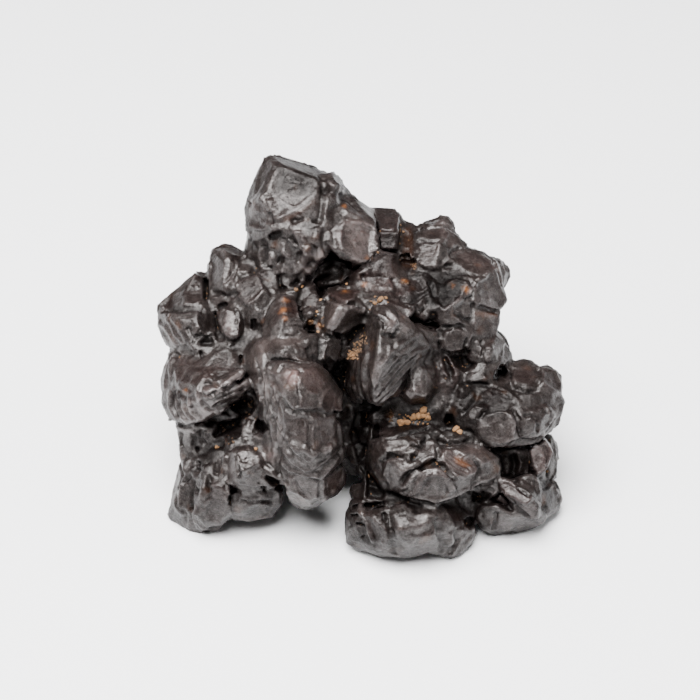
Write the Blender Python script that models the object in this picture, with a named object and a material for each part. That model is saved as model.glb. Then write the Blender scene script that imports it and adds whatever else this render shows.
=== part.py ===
"""A limonite concretion: a knobbly cluster of fused, rounded crystals, about 82 mm across.

The stone grew as one piece, so it is one solid. Each of its lumps is the hull of a few corner
points. The lumps are fused, their edges are worn soft, and the feet are flat where the stone
stands on the table.
"""

import math

import bmesh
import bpy
from mathutils import Matrix, Vector

MM = 0.001

# The lumps are laid out in millimetres to the right, up the picture, and towards an eye that looks
# down at the stone by EYE_TILT from EYE_DISTANCE away, at a point MIDDLE_HEIGHT above the table.
EYE_DISTANCE = 390.0
EYE_TILT = math.radians(35.0)
MIDDLE_HEIGHT = 30.0

# Each lump reaches back into the core by ROOT_DEPTH, narrowing to ROOT_SHARE of its front. The
# front is the part nearer than ROOT_REACH behind the middle of the lump. The pieces of the core
# narrow towards the back to CORE_TAPER.
ROOT_DEPTH = 7.0
ROOT_SHARE = 0.75
ROOT_REACH = 4.0
CORE_TAPER = 0.7

# The lumps melt into one skin of GRAIN squares, grow by FILL into their narrow clefts and are worn
# a little. The skin is thinned to FACE_COUNT triangles, and any flaw smaller than FLAW that this
# leaves is mended.
GRAIN = 0.55
FILL = 0.4
WORN_ROUNDS = 2
FACE_COUNT = 9700
MEND_ROUNDS = 6
FLAW = 0.001

LIMONITE_COLOUR = (0.027, 0.022, 0.021, 1.0)
LIMONITE_ROUGHNESS = 0.42

CROWN = {
    "crown": [
        (-14.2, 37, 2), (-6.2, 34, 3), (-4.8, 26.8, 6), (-10, 22.4, 7), (-14.8, 23.6, 7), (-17.6, 30, 5),
        (-16.6, 38.6, -3), (-13.2, 38.2, -6), (-5.6, 35.6, -5), (-19.2, 34, -2), (-20.6, 28.4, -1),
        (-20.4, 24, 0), (-18.8, 21, 1), (-15.6, 37, -11), (-5.6, 34.4, -11), (-19.2, 27, -10),
        (-17.6, 21.4, -10), (-4, 24, -10),
    ],
    "crown_knob": [
        (-5.6, 35.2, -1), (-3.8, 35.4, -3), (-1.8, 34, -3), (-1.4, 32.6, -2), (-2.4, 30, 3),
        (-4.8, 27.6, 5), (-6, 32, 3), (-3.6, 33.6, 3), (-2.2, 32.8, 2), (-3, 34, -11), (-1.4, 30, -10),
    ],
    "crown_capsule": [
        (-3.8, 33.2, 2.6), (-2.4, 33.4, 1.8), (-2.2, 30.6, 3.4), (-3.4, 30, 4.4), (-3, 32, 4),
    ],
    "crown_cheek": [
        (-10, 25, 6.5), (-4.6, 27, 6.2), (-3.4, 21.6, 7.6), (-5.8, 17.8, 7), (-10, 18.2, 6.2),
        (-12.4, 21.6, 6.6), (-7, 22.4, 8.4),
    ],
    "crown_plate": [
        (-4.4, 25.6, 6), (-1, 27.6, 4), (4.8, 25.6, 2), (5.6, 20, 5), (2, 17.6, 7), (-2, 18.8, 8),
        (-5, 21.6, 8), (-1.4, 32, -4), (1.6, 29.8, -6), (4.2, 28, -7), (-1, 29.4, 0), (0, 29, -11),
        (5.2, 25, -10), (5.2, 19, -6), (-3, 20, -10),
    ],
    "crown_neck": [
        (-18.6, 20.8, 0), (-15, 22.4, 4.6), (-10, 22, 5.6), (-5.6, 22, 6), (-5.4, 18.6, 4.6),
        (-8, 15.4, 3.4), (-10, 13.2, 2.6), (-14, 13, 2.4), (-17, 14.4, 0.6), (-18.4, 17, -1),
        (-12, 18, 4.6), (-12, 19, -10),
    ],
}
RIGHT_BLOCKS = {
    "shoulder": [
        (4.2, 28.2, -8), (7.2, 28.2, -10), (9.4, 27.8, -9), (10.4, 26.4, -8), (10.6, 24.4, -7),
        (9.6, 22, -4), (6.4, 18.4, -2), (5.4, 23, -3), (5.2, 25.6, -4), (5.6, 27.6, -12), (9.6, 27, -12),
        (10, 22, -12),
    ],
    "shoulder_hump": [
        (10, 23.6, -6), (11, 25.2, -9), (12.2, 25, -9), (13.2, 23.6, -7), (12, 20, -2), (9, 18.8, -1),
        (7.6, 17.6, 0), (11, 24, -12),
    ],
    "ridge_block": [
        (12.8, 23.2, -4), (14.2, 24, -5), (18.6, 24.8, -5), (20.8, 23.2, -6), (22.6, 21.8, -5),
        (23.2, 20, -4), (20.4, 17.6, 1), (17.4, 16.4, 3), (13.6, 16.8, 2), (12, 19, 0), (18, 21, 0.6),
        (19.4, 24.2, -5), (15, 23, -11), (21.6, 21, -11), (18, 17, -10),
    ],
    "ridge_foot": [
        (14, 17, 1.4), (19, 17.8, 0.4), (21.6, 16.4, 0.6), (18.4, 12.6, 3.6), (15, 13.6, 2.6),
    ],
    "ridge_plate_a": [
        (13.4, 24.4, -7), (18.4, 26, -7.6), (19.4, 25.6, -7.6), (21.4, 23, -7.4), (18.6, 24.6, -6.2),
        (16, 25, -12), (20.4, 24, -12),
    ],
    "ridge_plate_b": [
        (14.4, 25, -9.4), (18.2, 26.8, -9.6), (19.6, 26.6, -9.6), (20.6, 25.2, -9.4), (21.2, 23.4, -9),
        (16, 25, -12), (20.4, 24, -12),
    ],
    "big_block": [
        (23.2, 20, -4), (26.4, 19.6, -6), (28.4, 18.4, -6), (29.2, 17.2, -5), (30, 14.2, -4),
        (30.8, 12, -3), (31.2, 10.4, -2), (30.4, 8.6, -1), (27.4, 15.6, 1), (24, 11.8, 6), (20.4, 9.2, 8),
        (17.6, 8, 7), (17.4, 12, 4), (20, 16.4, 0), (21, 18.8, -2), (24, 19, -12), (29, 16, -12),
        (30, 10, -11), (27, 9, 1),
    ],
    "big_block_foot": [
        (24, 8.6, 4.6), (29.6, 7.6, -0.6), (29.4, 5.2, -0.4), (29, 3.2, 0), (26, 2.2, 2.6), (24, 2.6, 4.6),
        (23.4, 5, 5.4), (29, 6, -10), (24, 2, -10),
    ],
    "big_block_step": [
        (17.6, 7.6, 6.4), (20, 8.6, 7.2), (23.6, 7.6, 5.6), (23.4, 5.4, 5.6), (20.4, 4.6, 7),
        (18, 5.2, 6.6),
    ],
    "big_block_toe": [
        (17.8, 3.6, 5.8), (21, 5, 6), (24.4, 3, 4.6), (23.6, 0.4, 5.2), (20, -0.2, 6.2), (18, 1, 5.6),
        (21, 2.6, 7),
    ],
    "side_slab_a": [
        (28.6, 18.2, -8), (29.8, 17.8, -9.4), (31, 15.4, -9), (30.6, 12.8, -8), (30, 14, -7), (29, 17, -12),
        (30.4, 13, -12),
    ],
    "side_slab_b": [
        (29.4, 18.2, -10.6), (30.4, 17.8, -11), (31.7, 15.4, -10.6), (31.2, 13.4, -9.6), (30, 14, -9),
        (29, 17, -12), (30.4, 13, -12),
    ],
    "nodule_a": [
        (23.2, 1.6, 2), (25.6, 2.4, 3), (26.8, 0, 5), (25.6, -2.4, 4), (23.6, -2, 3),
    ],
    "nodule_b": [
        (26.8, 2.4, 1), (29.2, 3.2, -1), (30.8, 1.2, -1), (32.2, -1.2, -2), (30.8, -3.2, 2), (28.4, -4, 4),
        (26.8, -2, 5), (28, 0.4, 5), (29.6, -0.4, -10),
    ],
    "nodule_c": [
        (22.4, -5, 3), (24, -3.6, 3), (26.4, -3.2, 4), (28.8, -4.8, 3), (27.6, -6.8, 5), (24.4, -6.8, 6),
    ],
}
CENTRE = {
    "pyramid": [
        (-5.8, 9.6, 6), (-4.4, 11, 4), (-1.2, 9.2, 13.4), (0.6, 9.8, 10.4), (3.6, 7.6, 9), (2.2, 5.4, 8.6),
        (-1.4, 3.4, 9.6), (-4.2, 3.2, 11.4), (-6, 5.6, 8), (-1, 12.4, 3), (-4, 12, 2),
    ],
    "plateau": [
        (-1, 13, 1), (0.4, 15.4, -2), (4, 17, -3), (9, 18.4, -3), (12.4, 16.4, -2), (15, 15.6, -1),
        (16, 13, 2), (15, 10, 6), (12, 7, 9), (10, 6, 10), (7, 8.4, 10), (4, 9.4, 8), (0.4, 10, 6),
        (8, 14, -10), (7, 12.6, 6),
    ],
    "shell": [
        (4.4, 8.8, 12), (7.2, 9.2, 12), (9.6, 7.6, 12), (12, 4.4, 12), (16.4, 0.8, 9.6), (15.6, -1, 8.6),
        (11.6, -5, 11), (8.4, -9, 13), (5.4, -11.2, 12.4), (4.4, -9.6, 15), (4.6, -6, 18.6), (5.8, -1, 20),
        (6.6, 3, 18.4), (5.6, 6.4, 16), (4.2, 1, 15), (10.4, 0.4, 15.4),
    ],
    "shell_rib_a": [
        (3.8, 5, 13), (2.8, -0.4, 14.6), (2.6, -4.4, 15), (2.8, -8, 13.4), (4.4, -10.8, 12),
        (4.4, -8, 15), (4.6, -2, 17),
    ],
    "shell_rib_b": [
        (3, 3, 11), (1.4, -0.8, 11.6), (0.6, -4.6, 11.6), (0.8, -7.4, 10.8), (2.6, -10.4, 10.4),
        (2.6, -6, 13.6), (2.4, -1, 13.6),
    ],
    "shell_rib_c": [
        (1.8, 0, 8), (0, -3.6, 8), (-0.6, -7, 7), (0.4, -9.2, 7), (2, -10.6, 8), (1.6, -5, 10.4),
    ],
    "shell_wing_step": [
        (12, 2.6, 9.6), (16.8, 0.4, 8), (15.8, -2.2, 7), (12, -5.8, 9.4), (9, -9.4, 11.6), (8.6, -8, 12.4),
        (12, -3, 11.6),
    ],
    "shell_knob": [
        (4.8, 8.4, 14), (6.6, 9, 13.4), (8.6, 8, 15), (9.4, 6, 16.6), (9, 4, 18), (7.4, 3.2, 19.4),
        (5.6, 4.4, 18.4), (4.8, 6.4, 16.4),
    ],
    "shell_bump": [
        (10.2, 6.8, 13), (11.6, 6, 12), (12.6, 3.8, 12.6), (11.6, 2.8, 14), (10.4, 4.4, 15.4),
    ],
    "under_shell": [
        (10.4, -4, 6), (12, -2.4, 6), (15.6, -1.8, 6), (17, -4, 6), (17.2, -8, 6), (16, -10.4, 6),
        (12.6, -11, 6), (10, -9.4, 6), (12, -5, 11), (14.6, -4.2, 11), (15.4, -6, 10.6), (15, -9, 10.4),
        (12.6, -9.4, 11), (11.4, -8, 10.6),
    ],
    "red_lump": [
        (17, -0.6, 2), (20.4, 0.2, 2), (22.6, -2.6, 2), (23, -6.4, 2), (21.4, -9.2, 2), (18, -9.6, 2),
        (16.8, -6, 2), (18.4, -2.4, 5.4), (20.8, -2.4, 5.4), (21.4, -5.6, 6), (20, -8, 5.4), (18, -7, 5.4),
    ],
    "narrow_lump": [
        (16.9, -9.6, 3), (18, -8.4, 3), (19.4, -9.2, 3), (19.7, -12, 3), (18.4, -14, 3),
        (16.9, -12.4, 3), (17.8, -10.8, 5.4), (18.4, -12, 5),
    ],
    "plateau_edge": [
        (-5, 11.6, 3), (-1, 12.8, 3.4), (4, 13, 5), (9.6, 13, 5), (11, 8.4, 8.6), (5, 9, 8.6),
        (0.4, 9.4, 8), (-3, 10, 7),
    ],
    "crack_floor": [
        (-1, 4.4, 6.4), (1.6, 6.4, 7), (3.8, 6, 8.6), (3.8, 1, 9), (2.4, -1.6, 9), (0, -3, 7), (-1, 0, 6),
    ],
    "shell_ground": [
        (12, 4.8, 8), (14.4, 4, 6.4), (17.8, 3.8, 5.4), (18, 0, 5.4), (16.6, -1.4, 6), (13, 1, 9),
    ],
    "cone": [
        (-13.4, 11, 6), (-12, 10.6, 6), (-10, 8, 8), (-9, 5.6, 9), (-10, 2.8, 11), (-13.4, 2, 12),
        (-16.4, 2.4, 11), (-17.6, 4, 9), (-16.4, 7, 8), (-14.8, 9.6, 7), (-13.2, 6.4, 11.6),
    ],
    "cone_rubble": [
        (-10, 12.6, 1), (-7.6, 13.4, 1), (-6.4, 10, 4), (-6, 6, 6.6), (-6, 3.6, 8), (-8.4, 4.4, 7),
        (-9.6, 7, 6), (-10, 10, 3),
    ],
    "chin_left": [
        (-10.4, 2.6, 12), (-8, 3.6, 11), (-5.8, 2.8, 10), (-5.2, -0.4, 10), (-5.6, -3.6, 11),
        (-8.4, -3.2, 14), (-10, -0.4, 14.6),
    ],
    "chin_right": [
        (-5.8, 3, 9), (-3, 3.4, 8.4), (0, 2.8, 7), (0.4, 0, 6), (-1.2, -3.4, 6), (-4.8, -4.2, 7),
        (-5.6, -0.4, 10), (-3, -0.4, 10),
    ],
}
RIGHT_ARM = {
    "arm": [
        (32.4, -2.6, -3), (34.8, -2.2, -4), (36.6, -2.8, -4), (39, -4.8, -2), (41, -8, -1),
        (43, -10.8, 0), (42.2, -12.8, 2), (40.4, -16, 3), (37, -18.2, 5), (32, -19.4, 6), (28.8, -19, 7),
        (26, -16.4, 8), (25.2, -13.6, 8), (27, -10, 7), (30, -7.6, 5), (33, -5.6, 3), (37, -9, 6),
        (34, -12, 9), (31, -14, 10), (34, -7, -12), (39, -10, -11), (34, -16, -8),
    ],
    "arm_far": [
        (38, -3.6, -2), (39.6, -3.2, -3), (41.2, -4.2, -3), (42.2, -6.2, -2), (42.2, -8.6, 0),
        (40, -9.2, 4), (38, -7.6, 4), (38, -5.2, 3), (40, -6, -10),
    ],
    "arm_top": [
        (32, -2.8, -1), (34.4, -1.8, -3), (36.6, -2.6, -3), (37.6, -5, 0), (36, -7, 4), (33, -6.8, 5),
        (31.6, -5, 3), (34.4, -4, -10),
    ],
    "arm_front": [
        (25.2, -14, 8.8), (26.8, -12.6, 9.6), (31.4, -12.2, 10.6), (32.6, -13.6, 11), (33.6, -17.4, 9.8),
        (30.4, -19.2, 9), (27.6, -18.6, 9), (25, -16.8, 8.6),
    ],
    "arm_end": [
        (33.6, -13, 9.4), (36, -12.6, 9.4), (39.6, -11, 6), (41, -13, 4.6), (39.6, -15.4, 5.6),
        (37, -17.4, 7), (34.4, -17.4, 9), (36.4, -15, 9.6),
    ],
    "arm_root": [
        (20.4, -9.6, 4), (24, -8, 4), (28, -6.8, 4), (31.6, -7.6, 5), (32, -10.4, 8), (28, -12, 9),
        (24, -12.8, 8.4), (20.6, -13, 7), (21, -11, 7),
    ],
    "arm_slab": [
        (23, -13.2, 8.4), (24.4, -11.6, 8.8), (26.4, -11.2, 9.4), (26.8, -13, 9.8), (25, -14, 9.4),
    ],
    "arm_wedge": [
        (20.8, -13.8, 7), (24.8, -14.4, 9), (24.6, -15.8, 9), (22.6, -15.2, 7.6), (21, -14.8, 7),
    ],
}
LOWER_LOBE = {
    "lower_rim": [
        (5.4, -16.6, 7), (8.4, -15.6, 7), (12, -16, 8.4), (16, -15.2, 7.4), (18, -16.8, 8.4), (15, -18, 11),
        (10, -17.6, 11.4),
    ],
    "lower_rim_right": [
        (17.6, -17.2, 8), (21, -16.2, 7), (24, -17, 7), (26.6, -18.8, 7.4), (23, -20, 10.6),
        (19, -19.2, 11.4),
    ],
    "lower_left_lump": [
        (4.2, -21.6, 8), (4.8, -18.8, 9), (7, -17.4, 10.6), (11, -17.8, 12.4), (13.8, -19.2, 13.4),
        (14, -21, 14), (10, -21.2, 15.2), (6, -22.6, 12),
    ],
    "lower_left_under": [
        (4.6, -21, 8), (7.4, -22.4, 12), (8.6, -28, 11), (6, -27.4, 9), (4.2, -24.4, 8),
    ],
    "lower_front_lump": [
        (6.6, -24, 13), (7.6, -22, 15), (10, -21.6, 16.4), (13, -22.2, 16.6), (14.2, -23.4, 16.4),
        (12.4, -25, 17), (10, -27.6, 14), (9, -28.2, 12), (7, -26, 12),
    ],
    "lower_wedge": [
        (9.8, -28.4, 13), (11, -26, 15.4), (14, -24, 16.6), (17.4, -23.6, 17.4), (21, -25.4, 16),
        (24, -25.8, 13.6), (24.2, -27.4, 12), (21, -29.2, 13), (17.4, -30.4, 14), (13, -29.6, 14),
        (16.6, -27, 18.4),
    ],
    "lower_middle_lump": [
        (14, -20, 13), (15.6, -18, 12.4), (17.2, -18.6, 13), (17.6, -21, 15.4), (16, -22.4, 16.4),
        (14, -22, 15.4),
    ],
    "lower_pink_block": [
        (18, -20, 13), (21, -19, 12), (24.6, -20.4, 12), (26, -23, 12), (24.6, -26, 12.6),
        (22, -25.4, 15.2), (19, -23, 16), (17.6, -21.6, 15.2), (22, -21.8, 14.8),
    ],
    "lower_right_block": [
        (23.4, -19, 9.4), (27.4, -20, 8.6), (29.6, -22, 8), (30.2, -24.2, 8), (28, -26.2, 9.4),
        (25, -26.8, 11), (24.4, -22.6, 12.4), (26.6, -22, 12),
    ],
}
FRONT_FOOT = {
    "foot_left": [
        (0.4, -30, 6), (-0.6, -32.8, 6), (-0.8, -36.4, 6), (-0.2, -38.8, 6), (2.4, -40.2, 6.4),
        (3.4, -38, 11), (3.6, -33.4, 12), (2.4, -31.6, 11), (1.4, -35, 11), (3, -31, -6),
    ],
    "foot_middle": [
        (3.6, -32.6, 12.6), (6.6, -31.2, 13), (8.6, -33, 15), (8.6, -38, 15.4), (8.4, -41, 10),
        (5, -40.8, 8), (3.2, -39.8, 9), (6.4, -36, 15.6), (6, -35, -2),
    ],
    "foot_saddle": [
        (8.6, -32, 14), (10, -30.6, 12), (15, -30.4, 12), (17.4, -31.2, 13), (17.6, -34, 15.6),
        (16.4, -37.6, 15), (15.4, -40.4, 10.4), (11, -41.4, 9), (8.4, -40.8, 11), (9, -36, 16.4),
        (12, -37.4, 14.6), (13, -32, -6),
    ],
    "foot_round": [
        (17.6, -31.4, 12), (19, -31.6, 12), (20.6, -35, 12.4), (20.6, -38.4, 10.6), (18.6, -40.4, 8.6),
        (16.2, -40.6, 9.4), (17, -37, 15), (18.8, -34, 14),
    ],
    "foot_right": [
        (18, -31, 9), (21, -31, 7), (23.4, -33, 6), (24.8, -36, 5.4), (24.2, -38.4, 6), (22.2, -40.8, 6.4),
        (20, -41.6, 6.6), (18, -41, 8), (20.4, -36, 12), (21, -33, -4),
    ],
    "foot_heel": [
        (0.2, -27.4, 3), (3, -26.6, 4), (5.6, -27.6, 5), (6.4, -30, 6), (3, -30.6, 6), (0.6, -29.6, 4),
    ],
}
RIGHT_FOOT = {
    "right_wall": [
        (36, -19, -2), (39, -16.8, -4), (40.4, -17, -5), (41.2, -19, -5), (41.5, -21.6, -5),
        (41.1, -24.4, -4), (40, -26.8, -2), (37, -26.4, 2), (35.8, -23, 1), (39, -19, -11), (40, -25, -10),
    ],
    "right_toe": [
        (38, -26.8, 1), (40.4, -26.6, -2), (41.9, -28, -3), (42.2, -30, -3), (41, -32.2, -1),
        (39.2, -33.6, 1), (37.4, -32, 4), (37.6, -29, 5), (40, -27.5, -10),
    ],
    "right_foot": [
        (25.2, -33.6, 4), (26, -31.4, 6), (29.6, -31.2, 8), (33.6, -32.6, 8.4), (38, -33, 5),
        (39.2, -34, 1.5), (37.2, -35.4, 1), (34, -35.8, 1.5), (31, -36.6, 1), (28.8, -36.6, 1.5),
        (26.4, -35.4, 3),
        (30, -30, -8), (36, -31.5, -6),
    ],
    "right_foot_front": [
        (25.4, -33.4, 5), (27, -31.4, 7.6), (29.6, -31.4, 8.8), (33, -33, 8.4), (32, -36, 3.6),
        (27, -35.8, 3.4),
    ],
    "finger": [
        (29.6, -25.8, 8.4), (31.6, -26, 9), (36.6, -29.4, 9.4), (38, -31.6, 8.6), (37.8, -33.4, 7.4),
        (36, -33.6, 8), (33, -30.8, 9.4), (30.2, -28, 9), (34.4, -29.8, 10.8),
    ],
    "hook": [
        (23.6, -27.2, 7), (26, -26.4, 8), (28.4, -26.4, 8), (29.4, -28.4, 7), (27, -30, 5), (24.4, -30, 4),
    ],
    "small_facet": [
        (33, -26, 6), (35.6, -24.8, 6), (37.2, -25.6, 5), (38, -29, 6), (35.6, -28.4, 8),
    ],
    "cavity_wall": [
        (27, -17.6, -5), (36, -17.6, -7), (36.6, -26, -6), (29, -27, -3), (32, -23, -11), (20, -14, -6),
        (22, -26, -4),
    ],
}
LEFT_SIDE = {
    "left_crest": [
        (-30, 15.4, -6), (-28.8, 15, -7), (-32, 14.2, -6), (-35.4, 11.6, -5), (-37.8, 9.2, -4),
        (-38.4, 7.2, -3), (-38.4, 4.8, -2), (-37.6, 2.6, 0), (-36.2, 1, 1), (-34.4, -0.8, 2),
        (-30, -0.4, 3), (-27.2, 2, 2), (-26.8, 5, 1), (-27.8, 8.4, 0), (-28.8, 11.6, -2), (-32.8, 9.6, 1),
        (-34.6, 6.4, 4), (-30.6, 6.6, 5.4), (-31, 2.4, 5.6), (-31, 14, -12), (-37, 8, -11), (-35, 1, -10),
    ],
    "left_crest_low": [
        (-30.4, 3.6, 5.6), (-27.4, 4, 4), (-26.6, 1.6, 4.6), (-29, -1, 5), (-32, 0.4, 5.6),
    ],
    "left_horn": [
        (-27.2, 19.8, -5), (-25.6, 21, -7), (-23.8, 20.6, -7), (-22, 19.4, -5), (-21.4, 17.6, -2),
        (-22.4, 13, 2), (-24.4, 10, 3), (-27.2, 9.4, 1), (-28.2, 12, -1), (-28.2, 16.8, -3),
        (-24.6, 18.4, 0.4), (-24.8, 13, 3.6), (-26, 20, -12), (-27.4, 12, -10),
    ],
    "left_horn_right": [
        (-21.6, 19.2, -6), (-19.2, 19.2, -6), (-17.6, 17.6, -3), (-14.6, 13, 3), (-14.2, 11, 4.4),
        (-17, 6.4, 6), (-19, 4.4, 5.6), (-21, 6.4, 4), (-23.6, 10, 3), (-24.4, 13, 2), (-22, 17, -1),
        (-19, 11.6, 6.4), (-16.6, 11.4, 6), (-19, 18, -11), (-20, 8, -10),
    ],
    "brown_nodule": [
        (-26, 7, 4), (-24.6, 8.4, 4.4), (-22.8, 8.4, 5.4), (-22, 6, 6.4), (-22, 3.2, 7), (-23.6, 2, 7),
        (-25.6, 3.6, 6), (-26.4, 5.6, 4),
    ],
    "strata": [
        (-36, -0.8, 0), (-37, -2.8, 0), (-37.6, -5.4, 0), (-37.2, -8.4, 2), (-37.4, -11.4, 3),
        (-36, -13.8, 4), (-33, -14.6, 7), (-29.4, -14, 9), (-25.6, -12, 10), (-22, -9.6, 8),
        (-19.6, -6.4, 7), (-20.4, -3, 7), (-20.8, 1, 5), (-24, 2, 5), (-29, 0, 4), (-32.4, -1.4, 3),
        (-34, -6, 7), (-29, -9.6, 11), (-24.4, -6, 10.6), (-30, -4.4, 9), (-34, -4, -10), (-30, -12, -8),
        (-23, -2, -6),
    ],
    "strata_step_a": [
        (-34.4, -6.6, 8.4), (-30, -4.2, 10), (-26, -6, 11.6), (-29, -10.4, 12.4), (-32, -11.2, 10.4),
        (-34.2, -9.6, 8.6),
    ],
    "strata_step_b": [
        (-32, -6, 10.4), (-28.6, -4.6, 11.4), (-27, -7, 12.8), (-29.6, -9.4, 13), (-31.6, -8.8, 11.4),
    ],
    "strata_blade_a": [
        (-29.4, -8, 13), (-27, -6.4, 13), (-22, -4, 10.6), (-21.2, -4.6, 11), (-25, -7.6, 14.4),
        (-28, -9.6, 15), (-29.4, -9.6, 14),
    ],
    "strata_blade_b": [
        (-25.6, -8.8, 12), (-20, -6, 9.4), (-19.8, -7.2, 9.4), (-24, -9.6, 12.4), (-28, -11, 12.4),
    ],
    "left_waist": [
        (-34.2, -15.6, 1), (-31, -14.8, 4), (-27.6, -15, 4), (-27, -17.2, 3), (-29, -19, 2),
        (-31.6, -20.4, 1), (-33.2, -19.6, 0), (-33.8, -17.6, 0),
    ],
}
LEFT_FOOT = {
    "left_foot": [
        (-32, -20.4, 0), (-33.6, -22, -1), (-34.4, -24.4, -1), (-35.4, -29, -2), (-36.2, -33.6, -3),
        (-34.4, -34.6, -2.5), (-32, -36.2, -0.8), (-29.2, -36.4, -0.6), (-26, -36, 0.4), (-25, -33, 5),
        (-25.6, -29, 7), (-27, -25, 7), (-28, -22, 5), (-29.4, -21, 3), (-31, -26, 5), (-30, -30, 6),
        (-31, -22, -10), (-34, -27, -10), (-27, -31, -6),
    ],
    "left_rib_a": [
        (-33.4, -22.6, 1), (-32.4, -21.8, 2), (-33.6, -27, 3), (-34.8, -32, 1), (-33.6, -34.6, 0),
        (-32, -30, 4),
    ],
    "left_rib_b": [
        (-29.6, -24, 6), (-28, -23, 7), (-29.6, -28, 8.4), (-30.6, -33, 6), (-29.6, -36.2, 1.4),
        (-27.6, -35, 4), (-27, -29, 8.4),
    ],
    "left_face": [
        (-27.6, -25.4, 8), (-25.4, -25.6, 9), (-24, -29, 9.4), (-24, -33, 6.4), (-26, -35.4, 3),
        (-28, -34, 5), (-28.4, -29, 8.6),
    ],
    "left_foot_inner": [
        (-23.6, -30, 6), (-21, -27.2, 7), (-17.6, -26.8, 7), (-14, -28, 6), (-13.8, -30.6, 4),
        (-16, -33, 2.4), (-20, -34, 2.4), (-23.4, -33.6, 4), (-19, -30, 8.6),
    ],
    "bright_block": [
        (-23.6, -23, 10), (-23, -20.2, 10), (-20.4, -19.6, 10), (-17.8, -21.2, 11), (-17.6, -23.2, 11.4),
        (-18.4, -25.6, 10), (-21, -26.6, 10), (-23.2, -25.4, 10.6), (-22, -25.4, 13), (-22, -21.4, 13),
        (-19, -22.4, 12.8),
    ],
    "bright_block_side": [
        (-25.6, -24.4, 8), (-25, -21.6, 8.6), (-23, -19.8, 8.4), (-21, -19.6, 9), (-22, -24, 11),
        (-23.4, -27, 9), (-25.6, -27.6, 8),
    ],
    "bright_block_underside": [
        (-22, -25.6, 11.4), (-18.2, -22.8, 11), (-14.4, -24.8, 11.6), (-14.4, -27, 10), (-18, -28, 8),
        (-22.4, -27.4, 9), (-20, -22, 8),
    ],
    "foot_join": [
        (-24.8, -26.6, 6), (-22, -27, 7), (-22, -31.4, 6), (-24.8, -31.4, 6),
    ],
    "rib_ground": [
        (-28, -20, 4), (-25.4, -19.6, 5.4), (-24.6, -27, 6.4), (-26, -28, 6.4), (-27.8, -25, 6),
    ],
    "bright_block_top": [
        (-24.8, -18, 5), (-23, -16.4, 5), (-21.6, -17.2, 6), (-22, -19.2, 8), (-24, -20, 7),
    ],
    "curl": [
        (-21.2, -14.8, 6.4), (-20, -13.8, 6.4), (-19, -14.8, 6.4), (-19, -18, 7.4), (-20, -19.2, 8.4),
        (-21.2, -17.6, 7.4),
    ],
    "curl_foot": [
        (-21, -17.8, 7), (-18, -17.2, 8.4), (-17.2, -21, 10), (-20.8, -20.8, 9),
    ],
}
FRONT_LOBE = {
    "front_cap": [
        (-16.6, 1, 11), (-15, 2.6, 11), (-12, 2.6, 12), (-10, 1, 14), (-10.4, -1.4, 15.4),
        (-13.6, -0.4, 16.4), (-16.4, -1.4, 13.4),
    ],
    "front_shoulder": [
        (-21.2, -2, 6), (-20, 1, 7), (-17.6, 2.4, 9), (-16, 0, 12), (-16.2, -4.4, 14.6), (-17.6, -8, 12),
        (-19.6, -6.6, 9), (-20.8, -4.4, 8), (-18.4, -1, 11.4),
    ],
    "front_side": [
        (-18.4, -6.6, 10), (-16, -5, 14.6), (-13.4, -8, 18), (-13, -14, 17.4), (-13.4, -20, 14.4),
        (-15, -18, 12.6), (-17, -12, 10.6),
    ],
    "front_seam": [
        (-15, -7, 16), (-11.4, -9, 19), (-11, -13, 19), (-12.6, -16, 17.6), (-14, -12, 17),
    ],
    "front_side_rib": [
        (-18.4, -8, 8.6), (-17, -7.6, 12), (-16, -13, 13.6), (-15, -19, 13), (-15, -22, 11), (-17, -19, 9),
        (-17.8, -14, 8.6),
    ],
    "front_upper": [
        (-16.2, -2.8, 14), (-14, -1.8, 14.6), (-10, -2.4, 16), (-7, -3, 15), (-4.6, -4.4, 13),
        (-3.2, -7, 13), (-1.4, -9.6, 11), (-1.6, -12, 12), (-4, -12.8, 15.4), (-6.4, -12.6, 19),
        (-10, -12.8, 20.4), (-11.4, -11.6, 20.4), (-13, -8, 20), (-15, -5, 17.4), (-10, -5.6, 20.6),
        (-9.6, -10.6, 21.4), (-5, -7, 17),
    ],
    "front_middle": [
        (-12.8, -13, 17.6), (-10, -12.4, 18.6), (-6, -12, 17.6), (-3, -13.4, 15), (-2, -15.6, 12.6),
        (-2.2, -18, 13), (-4, -20, 15.8), (-7.4, -21.8, 18.6), (-10.4, -20.2, 18.6), (-12.8, -17.8, 17.4),
        (-7.6, -16, 20.4), (-6.6, -19, 19.8),
    ],
    "front_ledge_a": [
        (-13.6, -18, 15.6), (-13.4, -20.2, 15.4), (-10, -22.4, 17), (-8, -23.4, 17.2), (-4.4, -21.6, 14.8),
        (-1.6, -18.8, 12), (-1.4, -16, 11), (-7, -19, 18.4),
    ],
    "front_ledge_b": [
        (-13.6, -20.4, 13.8), (-13.4, -22.4, 13.6), (-9, -24.4, 15.4), (-5.6, -25.4, 15), (-1.6, -22, 11.4),
        (-1, -19, 10), (-7, -21, 17),
    ],
    "front_lower": [
        (-13.4, -24, 12.6), (-10, -24.4, 14.2), (-5.4, -25.8, 13.6), (-1.2, -23.2, 9), (-0.9, -26, 8),
        (-2.4, -28.2, 9), (-5, -29.8, 10.6), (-8.4, -30.4, 11.6), (-11, -29, 12.6), (-12.8, -27, 12.6),
        (-9, -27, 15), (-5, -27.6, 13),
    ],
    "front_tip": [
        (-12.8, -28, 11), (-11.8, -30, 9.6), (-9.6, -31.4, 8.8), (-7.6, -31.2, 9.2), (-5.6, -30.2, 10),
        (-9, -29.4, 12.2),
    ],
    "front_side_low": [
        (-18, -21, 9), (-16.4, -19.8, 11), (-14.4, -20.6, 12.8), (-13.4, -23, 12.8), (-13.2, -26.6, 11),
        (-15, -25.6, 9), (-17.6, -22.8, 9),
    ],
}
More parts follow.
